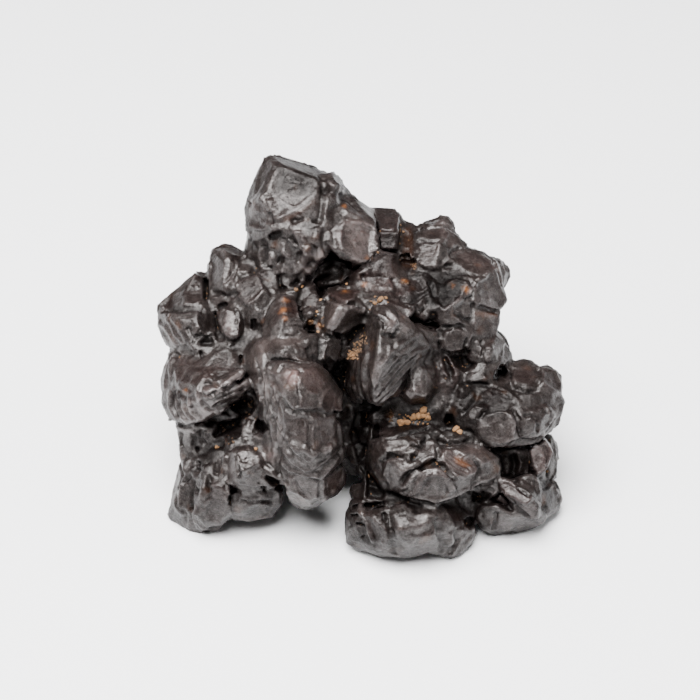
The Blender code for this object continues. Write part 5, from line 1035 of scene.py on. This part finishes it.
ridge([(22.7, 10.5), (21.2, 9.4), (20.7, 8.9)], 0.6, 0.3, 0.65)
ridge([(20.3, 9.1), (19.2, 7.9), (18, 8)], 0.6, 0.25, 0.35)
groove([(24, 14), (24.9, 12.4), (24.4, 10.6), (22.8, 10)], 0.4, 0.4, -0.3)
groove([(25.6, 8.8), (27, 8.4), (28, 7.9), (29.8, 7.6)], 0.5, 0.5, -0.4)
groove([(24.3, 9.6), (24.6, 8.4), (24.4, 6.2), (23.8, 5.2)], 0.5, 0.5, -0.3)
groove([(20.6, 7.4), (22, 6.9), (22.8, 5.9), (24, 6.1)], 0.5, 0.5, -0.35)
groove([(18.2, 4.5), (20, 4.5), (22, 4.8), (23.4, 4.2)], 0.5, 0.5, -0.35)
ridge([(20.8, 2.8), (21.2, 1)], 0.4, 0.12, 0.25)
ridge([(28.9, 18), (29.8, 15.6), (30.4, 13.4)], 0.5, 0.25, 0.4)
ridge([(30.4, 17), (31, 15.6), (30.7, 13.6)], 0.5, 0.2, 0.35)
groove([(28.6, 17.8), (29.5, 15.4), (30.4, 12.6)], 0.4, 0.5, -0.4)
ridge([(29.8, 7.4), (31, 9), (31.3, 10.4)], 0.5, 0.2, 0.3)
groove([(16, 13.6), (16.6, 12), (17, 10.4)], 0.6, 0.5)
groove([(23.7, 2.6), (23, 0.6), (23.2, -0.8)], 0.5, 0.5)
groove([(26.2, 2), (26.7, 0.4), (26.2, -1.6)], 0.4, 0.4, -0.3)
ridge([(28.8, 0.2), (30, 0.2)], 0.4, 0.2, 0.35)
for i in range(4):
    groove([(10.4 + 0.6 * i, 24.6 - 0.4 * i), (10.2 + 0.7 * i, 21), (10.4 + 0.8 * i, 17)], 0.4, 0.25, -0.15)
for place in ((19, 15.8), (19.6, 14.8), (26, 12), (27.8, 10.2), (23.4, 18), (26.4, 17.4), (28.4, 4.6), (25.2, 5.4)):
    bump(*place, 0.8, 0.16, 0.15)

# Right arm.
ridge([(38.4, -3.6), (41, -4.4), (42, -6.6), (42, -8.4)], 0.6, 0.3, 0.35)
ridge([(38, -6.4), (40, -7.6), (42, -9), (42.4, -9.6)], 0.6, 0.3, 0.35)
ridge([(28.4, -7), (30.4, -7.8), (32, -8.8), (34, -10.6)], 0.7, 0.3, 0.35)
ridge([(38.6, -11.2), (39.4, -12.4)], 0.5, 0.25, 0.5)
ridge([(34, -19), (36.6, -18.6), (38.6, -17), (40, -15.4), (41, -13.8)], 0.6, 0.25, 0.3)
ridge([(36, -12), (38.4, -15), (39, -16)], 0.5, 0.2, 0.3)
ridge([(31.5, -12.9), (33, -14.6), (32.5, -16.9)], 0.6, 0.25, 0.4)
ridge([(22.6, -6.4), (24.6, -5.6), (26, -4)], 0.5, 0.2, 0.3)
groove([(32.6, -11.6), (33.5, -13.6), (33.7, -15), (34.2, -17.4)], 0.5, 0.5, -0.35)
groove([(34.6, -13.4), (36.2, -12.8), (37.6, -14), (37.6, -16.6)], 0.5, 0.4, -0.3)
groove([(32.6, -3.4), (31.8, -5.6), (32.4, -7.4), (35.4, -8.2), (38, -8)], 0.6, 0.6, -0.3)
groove([(37.6, -3.6), (38.2, -5.4), (37.4, -7)], 0.5, 0.4)
groove([(25.8, -14), (26.8, -12.4), (28.4, -12), (31.6, -12)], 0.5, 0.5, -0.3)
groove([(22.8, -7), (25, -6.8), (28.2, -7)], 0.5, 0.5, -0.35)
groove([(25.6, -8.6), (25, -10), (23.4, -11.6), (22.4, -13)], 0.5, 0.6, -0.3)
for place in ((28, -8.8), (30.4, -16), (27.4, -15.4), (29.2, -14), (24.4, -5), (36.8, -5.4), (40, -6.2)):
    bump(*place, 0.7, 0.16, 0.3)

# Lower lobe.
ridge([(5.6, -17), (7, -16.6), (8.4, -16.8)], 0.6, 0.25, 0.3)
groove([(6.6, -17.7), (9, -17.4), (11, -16.8), (13, -16.2), (16, -15.4)], 0.5, 0.6, -0.4)
groove([(5.8, -22.8), (6.4, -22), (7.6, -21.3), (9.4, -20.7), (11, -21.1), (12, -21.8), (13.4, -21.7)], 0.7, 0.9, -0.8)
groove([(10, -27.2), (10.6, -26), (11.6, -24.8), (13.2, -24), (14.6, -23.6), (16, -23), (17, -22.4), (18, -23),
        (19.4, -24), (20.8, -25.4), (21.4, -26)], 0.6, 0.7, -0.7)
ridge([(10, -28.2), (11.4, -26.8), (12.6, -25.4), (14, -24.6), (16, -24.2), (17.8, -24), (20, -25.8)], 0.6, 0.4, 0.7)
ridge([(9.8, -28.4), (10.6, -28.9), (12, -29), (14, -29.6), (16, -29.9), (17, -30.4), (18, -30), (20, -29.4),
       (22, -28.6), (23.8, -27.6), (26, -26.2), (28, -25.6), (29.8, -24.8), (30.2, -24)], 0.6, 0.35, 0.6)
ridge([(16.4, -19), (16.8, -20.4)], 0.5, 0.2, 0.5)
groove([(12, -18.6), (13.4, -19.3), (14, -19.4), (14.4, -19), (15, -18), (15.6, -17.2)], 0.5, 0.6, -0.45)
groove([(17.3, -19), (17.7, -20.6), (17.6, -22)], 0.5, 0.5, -0.3)
groove([(24.8, -21.4), (25.7, -23), (26, -24.2), (25.4, -25.8)], 0.5, 0.5, -0.35)
for i in range(5):
    groove([(18.6 + 0.35 * i, -22.4 + 0.62 * i), (21 + 0.45 * i, -24.2 + 0.7 * i), (23.2 + 0.45 * i, -25.2 + 0.75 * i)],
           0.35, 0.16, -0.14)
groove([(14.3, -29), (15, -27.2), (16, -25.4)], 0.4, 0.2, -0.15)
groove([(19.4, -29), (19, -27.4), (18.2, -25.6)], 0.4, 0.2, -0.15)
ridge([(17, -16), (18.6, -17.4)], 0.5, 0.25, 0.4)
ridge([(18, -15.8), (19.6, -16.4), (21, -17)], 0.5, 0.25, 0.35)
groove([(17.4, -18.4), (19.6, -18.6), (22, -18.4), (25, -17.8)], 0.6, 0.6, -0.35)
for place in ((22.6, -21.7), (7.6, -19.4), (10.6, -19.4), (8.4, -25.2), (15.6, -27.2), (19, -26.8), (11.4, -23.2)):
    bump(*place, 0.7, 0.16, 0.25)

# Front foot.
ridge([(2, -30), (2.4, -32.6), (3.4, -34.4), (4, -36.6), (5, -38.6)], 0.7, 0.5, 0.5)
groove([(7.4, -32), (8, -35), (8.5, -38), (8.8, -41)], 0.8, 0.4, -0.3)
ridge([(9, -32.4), (9.6, -34.6), (11, -37), (12.8, -39.6)], 1.2, 0.45, 0.35)
ridge([(10.6, -33), (11.8, -35), (13.6, -35.6), (15.2, -34.2), (15.8, -32.4)], 1.5, 0.45, 0.5)
groove([(17, -33.4), (17.8, -36), (18.6, -38.4), (18.4, -40.6)], 0.9, 0.4, -0.25)
ridge([(20, -36.4), (20.4, -38), (19.6, -39.4)], 1, 0.3, 0.25)
groove([(21.2, -35.4), (21.6, -38.2), (20.6, -39.9)], 0.8, 0.4, -0.3)
ridge([(8.6, -40.6), (10, -41.4)], 0.5, 0.2, 0.4)
for place in ((3, -29.6), (4.2, -29.4), (5, -34.6), (6.4, -38.4), (14.2, -37.8), (22.8, -37.4), (21, -40)):
    bump(*place, 0.7, 0.2, 0.25)

# Hollow under the right arm.
ridge([(30.8, -21.2), (31.8, -23), (31.4, -25)], 0.9, 0.45, 0.5)
ridge([(33, -20.4), (34.2, -22.4), (33.6, -24.8)], 0.9, 0.45, 0.5)
ridge([(31.4, -19.8), (33.4, -20.2), (35.4, -21.4)], 0.8, 0.35, 0.4)
groove([(32.4, -20.8), (33, -23), (32.4, -25.2)], 0.8, 0.6, -0.4)

# Right foot.
ridge([(36.2, -22), (36.6, -24), (37.2, -26), (37.8, -28.6), (38, -31)], 0.6, 0.35, 0.55)
ridge([(40.2, -25.8), (40.8, -27.4), (41.6, -29)], 0.5, 0.3, 0.45)
ridge([(33.4, -33), (35, -34.4), (36.6, -34.6)], 0.5, 0.25, 0.3)
ridge([(36, -35.4), (38.6, -34.4), (39.2, -33.4)], 0.5, 0.25, 0.35)
ridge([(29.9, -26.2), (32, -26.4), (34.8, -28.4), (37, -30.2)], 0.5, 0.2, 0.25)
groove([(30, -28.2), (31.6, -29.6), (34, -32), (36, -33.6)], 0.5, 0.5, -0.4)
groove([(24.2, -28.7), (26.4, -28.9), (28, -28), (29, -28.5)], 0.5, 0.5, -0.4)
groove([(32.8, -26), (34.2, -28), (36.2, -29.4)], 0.5, 0.5, -0.3)
groove([(29.1, -32.2), (29.2, -34), (28.7, -36)], 0.5, 0.4, -0.3)
groove([(38.2, -18.6), (39.2, -20), (39.6, -22.4), (39.4, -25.6)], 0.5, 0.4, -0.25)
bump(36.8, -30.8, 0.6, 0.2, 0.8)
for place in ((26.8, -33.4), (30.8, -34.4), (40.4, -29.4), (38.4, -21.4), (40.6, -21), (26.6, -27)):
    bump(*place, 0.7, 0.16, 0.25)

# The lines are cut in, the edges sharpened, and all of it kept inside the solid's size.
LIFT_LIMITS = (-4 * MM, 1 * MM)
SHARPEN = 0.2
lift = np.clip(rough * MM * (0.12 + 0.63 * far_side) + lift, *LIFT_LIMITS)
skin = skin + outward * lift[:, None]
skin = skin + (skin - softened(skin, edges, 3)) * SHARPEN
skin = np.clip(skin, np.array(cad_box[0]), np.array(cad_box[1]))
move_points(stone.data, skin)


def linear(hex_colour):
    """An sRGB hex colour as linear numbers."""
    channels = [int(hex_colour[i:i + 2], 16) / 255 for i in (1, 3, 5)]
    return tuple(c / 12.92 if c <= 0.04045 else ((c + 0.055) / 1.055) ** 2.4 for c in channels) + (1,)


def add_node(tree, kind, settings=None, links=None):
    """A shader node with its settings, and its inputs linked to other nodes' outputs."""
    made = tree.nodes.new(kind)
    for key, value in (settings or {}).items():
        if isinstance(key, str) and hasattr(made, key) and key not in made.inputs:
            setattr(made, key, value)
        else:
            made.inputs[key].default_value = value
    for key, output in (links or {}).items():
        tree.links.new(output, made.inputs[key])
    return made


def keep_mark(mesh, name, values):
    """Store one number for each point of the mesh, for its material to read."""
    layer = mesh.attributes.new(name, "FLOAT", "POINT")
    layer.data.foreach_set("value", np.asarray(values, dtype=np.float32))


# Each point of the skin knows how deep it lies in a cleft, how far it stands out
# on an edge and how open it is, and the material reads all of it.
EDGE_FULL = 0.22
CLEFT_FULL = 0.9
NEAR_FACES = 63000
FAR_FACES = 34000
pale = softened(pale, edges, 5)
warm = softened(warm, edges, 5)
outward = normals_of(stone.data)
near_form = softened(skin, edges, 8)
far_form = softened(skin, edges, 90)
edge_rise = np.einsum("ij,ij->i", skin - near_form, outward) / MM
cleft_depth = -np.einsum("ij,ij->i", skin - far_form, outward) / MM
keep_mark(stone.data, "edge", np.clip(edge_rise / EDGE_FULL, 0, 1))
keep_mark(stone.data, "cleft", np.clip(cleft_depth / CLEFT_FULL, 0, 1))
keep_mark(stone.data, "pale", np.clip(pale, -1.8, 1.8))
keep_mark(stone.data, "warm", np.clip(warm, 0, 1.2))
keep_mark(stone.data, "rust", np.clip(rust, 0, 1))
near = softened(shown.astype(float), edges, 6) > 0.15
near_faces = sum(1 for face in stone.data.polygons if near[face.vertices[0]])
far_faces = len(stone.data.polygons) - near_faces
for name, members, left, others in (("far", ~near, FAR_FACES / far_faces, near_faces / far_faces),
                                    ("near", near, NEAR_FACES / near_faces, FAR_FACES / near_faces)):
    group = stone.vertex_groups.new(name=name)
    group.add([int(i) for i in np.flatnonzero(members)], 1, "ADD")
    thin = stone.modifiers.new(name, "DECIMATE")
    thin.vertex_group = name
    thin.vertex_group_factor = 1
    thin.ratio = (left + others) / (1 + others)
apply_modifiers(stone)
stone.vertex_groups.clear()
SKY_RAYS = 16
SKY_REACH = 14 * MM
FLOOR_SHARE = 0.35


def sky_seen(every):
    """How open each point of the skin is to the sky, from 0 in a deep cleft to 1."""
    points = points_of(stone.data)
    normals = normals_of(stone.data)
    around = edges_of(stone.data)
    tree = tree_of(points, stone.data)
    chosen = np.arange(0, len(points), every)
    up = normals[chosen]
    side = np.cross(up, np.where(np.abs(up[:, 2:3]) < 0.9, (0, 0, 1), (1, 0, 0)))
    side /= np.linalg.norm(side, axis=1, keepdims=True)
    other = np.cross(up, side)
    starts = [Vector(p) for p in points[chosen] + up * 0.15 * MM]
    total = np.zeros(len(chosen))
    for i in range(SKY_RAYS):
        level = math.sqrt((i + 0.5) / SKY_RAYS)
        turn = i * 2.39996
        toward = side * (level * math.cos(turn)) + other * (level * math.sin(turn))
        toward += up * math.sqrt(1 - level * level)
        for k, way in enumerate(toward):
            hit = tree.ray_cast(starts[k], Vector(way), SKY_REACH)
            seen_sky = 1 if hit[0] is None else 0.5 * (hit[3] / SKY_REACH)
            total[k] += seen_sky * (1 if way[2] > 0 else FLOOR_SHARE)
    openness = np.zeros(len(points))
    known = np.zeros(len(points))
    openness[chosen] = total / SKY_RAYS
    known[chosen] = 1
    rounds = 2 + every
    return softened(openness, around, rounds) / np.maximum(softened(known, around, rounds), 1e-6)


# This openness paints shade into the stone's colour and gloss in clefts and on undersides.
sky = sky_seen(2)
keep_mark(stone.data, "sky", sky)
for face in stone.data.polygons:
    face.use_smooth = True


def limonite():
    """Dark brown-grey limonite: mottled, a little glossy on its faces, paler on raised edges from wear and a painted
    highlight, with the painted light and shade of the skin's marks and painted shade in clefts and on undersides.
    """
    material = bpy.data.materials.new("limonite")
    material.use_nodes = True
    tree = material.node_tree
    surface = tree.nodes["Principled BSDF"]
    place = add_node(tree, "ShaderNodeTexCoord").outputs["Object"]
    edge = add_node(tree, "ShaderNodeAttribute", {"attribute_name": "edge"}).outputs["Fac"]
    cleft = add_node(tree, "ShaderNodeAttribute", {"attribute_name": "cleft"}).outputs["Fac"]
    shade = add_node(tree, "ShaderNodeAttribute", {"attribute_name": "pale"}).outputs["Fac"]
    brown = add_node(tree, "ShaderNodeAttribute", {"attribute_name": "warm"}).outputs["Fac"]
    iron = add_node(tree, "ShaderNodeAttribute", {"attribute_name": "rust"}).outputs["Fac"]
    open_sky = add_node(tree, "ShaderNodeAttribute", {"attribute_name": "sky"}).outputs["Fac"]
    cloud = add_node(tree, "ShaderNodeTexNoise", {"Scale": 110, "Detail": 6, "Roughness": 0.62}, {"Vector": place})
    mottle = add_node(tree, "ShaderNodeTexNoise", {"Scale": 480, "Detail": 6, "Roughness": 0.68, "Distortion": 0.5},
                      {"Vector": place})
    speck = add_node(tree, "ShaderNodeTexNoise", {"Scale": 1300, "Detail": 4, "Roughness": 0.62}, {"Vector": place})
    grain = add_node(tree, "ShaderNodeTexNoise", {"Scale": 3400, "Detail": 3}, {"Vector": place})

    # Tone: a power of the mottles and the drawn shades.
    mottled = add_node(tree, "ShaderNodeMath", {"operation": "MULTIPLY_ADD", 1: 1.6, 2: -0.8}, {0: mottle.outputs["Fac"]})
    specked = add_node(tree, "ShaderNodeMath", {"operation": "MULTIPLY_ADD", 1: 2.2, 2: -1.1}, {0: speck.outputs["Fac"]})
    grained = add_node(tree, "ShaderNodeMath", {"operation": "MULTIPLY_ADD", 1: 2, 2: -1}, {0: grain.outputs["Fac"]})
    small = add_node(tree, "ShaderNodeMath", {"operation": "ADD"}, {0: grained.outputs[0], 1: specked.outputs[0]})
    both = add_node(tree, "ShaderNodeMath", {"operation": "ADD"}, {0: mottled.outputs[0], 1: small.outputs[0]})
    total = add_node(tree, "ShaderNodeMath", {"operation": "ADD"}, {0: both.outputs[0], 1: shade})
    gain = add_node(tree, "ShaderNodeMath", {"operation": "POWER", 0: 2.5}, {1: total.outputs[0]})
    tone = add_node(tree, "ShaderNodeMix", {"data_type": "RGBA", 6: linear("#100b0a"), 7: linear("#191311")},
                    {0: cloud.outputs["Fac"]})
    # Raised edges are made paler: partly wear, partly a painted highlight.
    wear_and_highlight = add_node(tree, "ShaderNodeMix", {"data_type": "RGBA", 7: linear("#221d1c")}, {0: edge, 6: tone.outputs[2]})
    scaled = add_node(tree, "ShaderNodeVectorMath", {"operation": "SCALE"}, {0: wear_and_highlight.outputs[2], 3: gain.outputs[0]})
    browned = add_node(tree, "ShaderNodeMix", {"data_type": "RGBA", "blend_type": "MULTIPLY", 7: (1.25, 0.97, 0.95, 1)},
                       {0: brown, 6: scaled.outputs[0]})
    rusted = add_node(tree, "ShaderNodeMix", {"data_type": "RGBA", 7: linear("#75451d")}, {0: iron, 6: browned.outputs[2]})
    # Painted shade: the colour is darkened where the skin is closed off from the sky, in clefts and on undersides that
    # face the floor.
    painted_shade_gain = add_node(tree, "ShaderNodeMapRange", {"From Min": 0.15, "From Max": 0.8, "To Min": 0.6, "To Max": 1.05}, {"Value": open_sky})
    deep = add_node(tree, "ShaderNodeVectorMath", {"operation": "SCALE"},
                    {0: rusted.outputs[2], 3: painted_shade_gain.outputs["Result"]})
    tree.links.new(deep.outputs[0], surface.inputs["Base Color"])

    rough = add_node(tree, "ShaderNodeMapRange", {"From Min": 0.3, "From Max": 0.7, "To Min": 0.28, "To Max": 0.44},
                     {"Value": mottle.outputs["Fac"]})
    matt = add_node(tree, "ShaderNodeMath", {"operation": "MULTIPLY_ADD", 1: 0.2}, {0: cleft, 2: rough.outputs["Result"]})
    # The gloss is lowered where the skin is closed off from the sky and scaled by the same gain as the tone, so
    # reflections also carry painted shade and painted light.
    gloss = add_node(tree, "ShaderNodeMapRange", {"From Min": 0.1, "From Max": 0.65, "To Min": 0.1, "To Max": 0.4},
                     {"Value": open_sky})
    gleam = add_node(tree, "ShaderNodeMath", {"operation": "MULTIPLY", "use_clamp": True},
                     {0: gloss.outputs["Result"], 1: gain.outputs[0]})
    tree.links.new(gleam.outputs[0], surface.inputs["Specular IOR Level"])
    tree.links.new(matt.outputs["Value"], surface.inputs["Roughness"])

    # Facets: each cell of a bent honeycomb is a small plane with a slope of its own.
    bend = add_node(tree, "ShaderNodeVectorMath", {"operation": "SCALE", 3: 1.6 * MM}, {0: mottle.outputs["Color"]})
    bent = add_node(tree, "ShaderNodeVectorMath", {"operation": "ADD"}, {0: place, 1: bend.outputs[0]})
    normal = None
    for size, slope in ((2, 0.08), (5, 0.2)):
        cell = add_node(tree, "ShaderNodeTexVoronoi", {"Scale": 1000 / size}, {"Vector": bent.outputs[0]})
        offset = add_node(tree, "ShaderNodeVectorMath", {"operation": "SUBTRACT"},
                          {0: bent.outputs[0], 1: cell.outputs["Position"]})
        turn = add_node(tree, "ShaderNodeVectorMath", {"operation": "SUBTRACT", 1: (0.5, 0.5, 0.5)},
                        {0: cell.outputs["Color"]})
        height = add_node(tree, "ShaderNodeVectorMath", {"operation": "DOT_PRODUCT"},
                          {0: offset.outputs[0], 1: turn.outputs[0]})
        links = {"Height": height.outputs["Value"]}
        if normal:
            links["Normal"] = normal
        normal = add_node(tree, "ShaderNodeBump", {"Strength": 1, "Distance": slope}, links).outputs["Normal"]
    fine = add_node(tree, "ShaderNodeBump", {"Strength": 0.6, "Distance": 0.05 * MM},
                    {"Height": grain.outputs["Fac"], "Normal": normal})
    hackly = add_node(tree, "ShaderNodeBump", {"Strength": 0.7, "Distance": 0.14 * MM},
                      {"Height": speck.outputs["Fac"], "Normal": fine.outputs["Normal"]})
    tree.links.new(hackly.outputs["Normal"], surface.inputs["Normal"])
    surface.inputs["IOR"].default_value = 1.5
    surface.inputs["Specular Tint"].default_value = (1, 0.96, 0.94, 1)
    return material


stone.data.materials.clear()
stone.data.materials.append(limonite())
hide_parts("limonite_concretion")
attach(stone, "root")


# Sandy crumbs
# Crumbs of tan sandstone and loose grains of sand that are stuck in the clefts
# of the limonite. Each is a small worn lump, sunk a little into the skin.
stone_tree = tree_of(points_of(stone.data), stone.data)
chance = random.Random(11)
sand = bmesh.new()
grain_tone = sand.verts.layers.float.new("tone")


def add_crumb(spot, up, size, tone, sunk=0.35, detail=2):
    """One lump of sand, size mm across, at a spot on the skin."""
    around = bmesh.ops.create_icosphere(sand, subdivisions=detail, radius=size * MM / 2)["verts"]
    shift = Vector((chance.uniform(0, 90), chance.uniform(0, 90), chance.uniform(0, 90)))
    squash = Vector((chance.uniform(0.8, 1.15), chance.uniform(0.75, 1.1), chance.uniform(0.6, 0.9)))
    for corner in around:
        swell = 1 + 0.45 * noise.noise(corner.co / (size * MM) * 1.6 + shift)
        swell += 0.2 * noise.noise(corner.co / (size * MM) * 4 + shift)
        corner.co = Vector(corner.co * squash) * swell
        corner[grain_tone] = tone + 0.25 * noise.noise(corner.co / (size * MM) * 5 + shift)
    turn = up.to_track_quat("Z", "Y").to_matrix().to_4x4()
    turn.translation = spot + up * (size * MM * (0.36 - sunk))
    bmesh.ops.transform(sand, matrix=turn, verts=around)


def crumb_at(right, up, size, tone, detail=2):
    """A crumb where the eye sees the skin at (right, up) mm."""
    through = EYE_TARGET + EYE_RIGHT * (right * MM) + EYE_UP * (up * MM)
    spot, normal = stone_tree.ray_cast(EYE, (through - EYE).normalized())[:2]
    if spot is not None:
        add_crumb(spot, normal, size, tone, detail=detail)


def crumbs_in(outline, count, low, high, tone):
    """Grains of low to high mm spread over an outline."""
    corners = np.array(outline)
    least, most = corners.min(axis=0), corners.max(axis=0)
    for _ in range(count):
        crumb_at(chance.uniform(least[0], most[0]), chance.uniform(least[1], most[1]),
                 chance.uniform(low, high), tone + chance.uniform(-0.25, 0.25), detail=1)


for right, up, size, tone in ((10.2, -14.5, 1.8, 0.7), (11.4, -14.5, 1.6, 0.6), (12.6, -13.5, 1.4, 0.6),
                              (13.8, -13.2, 1.5, 0.7), (14.7, -12, 1.7, 0.7), (14.6, -13, 1.5, 0.7),
                              (15.6, -13.6, 1.3, 0.7), (21.2, -15.8, 1.5, 0.6), (21.9, -16.3, 1.2, 0.7), (6.1, 10.1, 1.5, 0.4),
                              (5, 9.4, 0.8, 0.4), (7.2, 10.4, 0.8, 0.4), (-10.8, 12, 1, 0.2),
                              (-26.6, -19.5, 1, 0.7), (-18.8, -19.8, 0.8, 1), (-9.6, 12.7, 0.7, 1),
                              (-6.6, 7.6, 0.6, 1), (-5.8, 10, 0.7, 1), (-0.6, 13.2, 0.6, 0.9),
                              (-8, 5.8, 0.8, 0.4), (-6, 5, 0.8, 0.4), (-6.4, 3.6, 0.8, 0.7)):
    crumb_at(right, up, size, tone, 3)
for outline, count, tone in (([(-0.6, -0.2), (1.6, -1.8)], 60, 0.35), ([(0.6, 1.6), (2.4, -0.6)], 40, 0.1),
                             ([(2, 3.6), (3.4, 1.2)], 24, 0.1), ([(-18.6, -10), (-21, -14)], 10, 0),
                             ([(12.2, 17.4), (13.4, 16)], 10, 0.2), ([(10, 14), (11.6, 13.2)], 7, 0.1),
                             ([(7.8, -12), (8.6, -14.6)], 12, 0), ([(4, 11), (8, 9)], 8, 0.2),
                             ([(16.8, -3), (21, -8)], 5, 0), ([(-24.4, -16.8), (-22, -19)], 5, 0.1),
                             ([(10, 25), (11, 22.6)], 4, 0.1), ([(9, -12.6), (16, -15)], 24, 0.5),
                             ([(-9, 9), (-5, 4)], 8, 0.1)):
    crumbs_in(outline, count, 0.3, 0.7, tone)
cleft_marks = np.empty(len(stone.data.vertices), dtype=np.float32)
stone.data.attributes["cleft"].data.foreach_get("value", cleft_marks)
stone_points = points_of(stone.data)
stone_normals = normals_of(stone.data)
hidden = [i for i in range(len(stone_points)) if cleft_marks[i] > 0.8 and stone_normals[i][2] > 0.15]
for i in chance.sample(hidden, 200):
    add_crumb(Vector(stone_points[i]), Vector(stone_normals[i]), chance.uniform(0.25, 0.6), chance.uniform(-0.1, 0.5),
              detail=1)
for corner in sand.verts:
    corner.co = [min(max(c, low), high) for c, low, high in zip(corner.co, *cad_box)]
for face in sand.faces:
    face.smooth = True
crumb_mesh = bpy.data.meshes.new("sandy_crumbs")
sand.to_mesh(crumb_mesh)
sand.free()
crumbs = bpy.data.objects.new("sandy_crumbs", crumb_mesh)
bpy.context.scene.collection.objects.link(crumbs)
material = bpy.data.materials.new("sandstone")
material.use_nodes = True
tree = material.node_tree
surface = tree.nodes["Principled BSDF"]
place = add_node(tree, "ShaderNodeTexCoord").outputs["Object"]
tone = add_node(tree, "ShaderNodeAttribute", {"attribute_name": "tone"}).outputs["Fac"]
speck = add_node(tree, "ShaderNodeTexNoise", {"Scale": 2600, "Detail": 3}, {"Vector": place})
mixed = add_node(tree, "ShaderNodeMath", {"operation": "MULTIPLY_ADD", 1: 0.9}, {0: speck.outputs["Fac"], 2: tone})
ramp = add_node(tree, "ShaderNodeMapRange", {"From Min": 0.4, "From Max": 1.5}, {"Value": mixed.outputs[0]})
colour = add_node(tree, "ShaderNodeMix", {"data_type": "RGBA", 6: linear("#33210f"), 7: linear("#8c6642")},
                  {0: ramp.outputs["Result"]})
tree.links.new(colour.outputs[2], surface.inputs["Base Color"])
dull = add_node(tree, "ShaderNodeMapRange", {"To Min": 0.7, "To Max": 0.95}, {"Value": speck.outputs["Fac"]})
tree.links.new(dull.outputs["Result"], surface.inputs["Roughness"])
gritty = add_node(tree, "ShaderNodeBump", {"Strength": 0.6, "Distance": 0.08 * MM}, {"Height": speck.outputs["Fac"]})
tree.links.new(gritty.outputs["Normal"], surface.inputs["Normal"])
crumb_mesh.materials.append(material)
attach(crumbs, "root")


# Floor and light
# A plain pale table, and the soft light of a studio.
floor_mesh = bpy.data.meshes.new("floor")
bm = bmesh.new()
bmesh.ops.create_grid(bm, x_segments=1, y_segments=1, size=3)
bm.to_mesh(floor_mesh)
bm.free()
floor = bpy.data.objects.new("floor", floor_mesh)
bpy.context.scene.collection.objects.link(floor)
paper = bpy.data.materials.new("paper")
paper.use_nodes = True
paper.node_tree.nodes["Principled BSDF"].inputs["Base Color"].default_value = linear("#fafafb")
paper.node_tree.nodes["Principled BSDF"].inputs["Roughness"].default_value = 0.8
floor_mesh.materials.append(paper)


def add_lamp(name, place, power, size):
    """A soft square lamp that faces the stone."""
    light = bpy.data.lights.new(name, "AREA")
    light.shape = "SQUARE"
    light.size = size
    light.energy = power
    lamp = bpy.data.objects.new(name, light)
    lamp.location = place
    lamp.rotation_euler = (EYE_TARGET - Vector(place)).to_track_quat("-Z", "Y").to_euler()
    bpy.context.scene.collection.objects.link(lamp)


add_lamp("overhead", (-0.16, -0.18, 0.8), 38.5, 0.7)
add_lamp("left", (-0.7, -0.1, 0.5), 2, 0.4)
add_lamp("right", (0.7, -0.1, 0.5), 2, 0.4)
studio = bpy.data.worlds.new("studio")
bpy.context.scene.world = studio
studio.use_nodes = True
studio.node_tree.nodes["Background"].inputs["Color"].default_value = (1, 1, 1, 1)
studio.node_tree.nodes["Background"].inputs["Strength"].default_value = 0.16
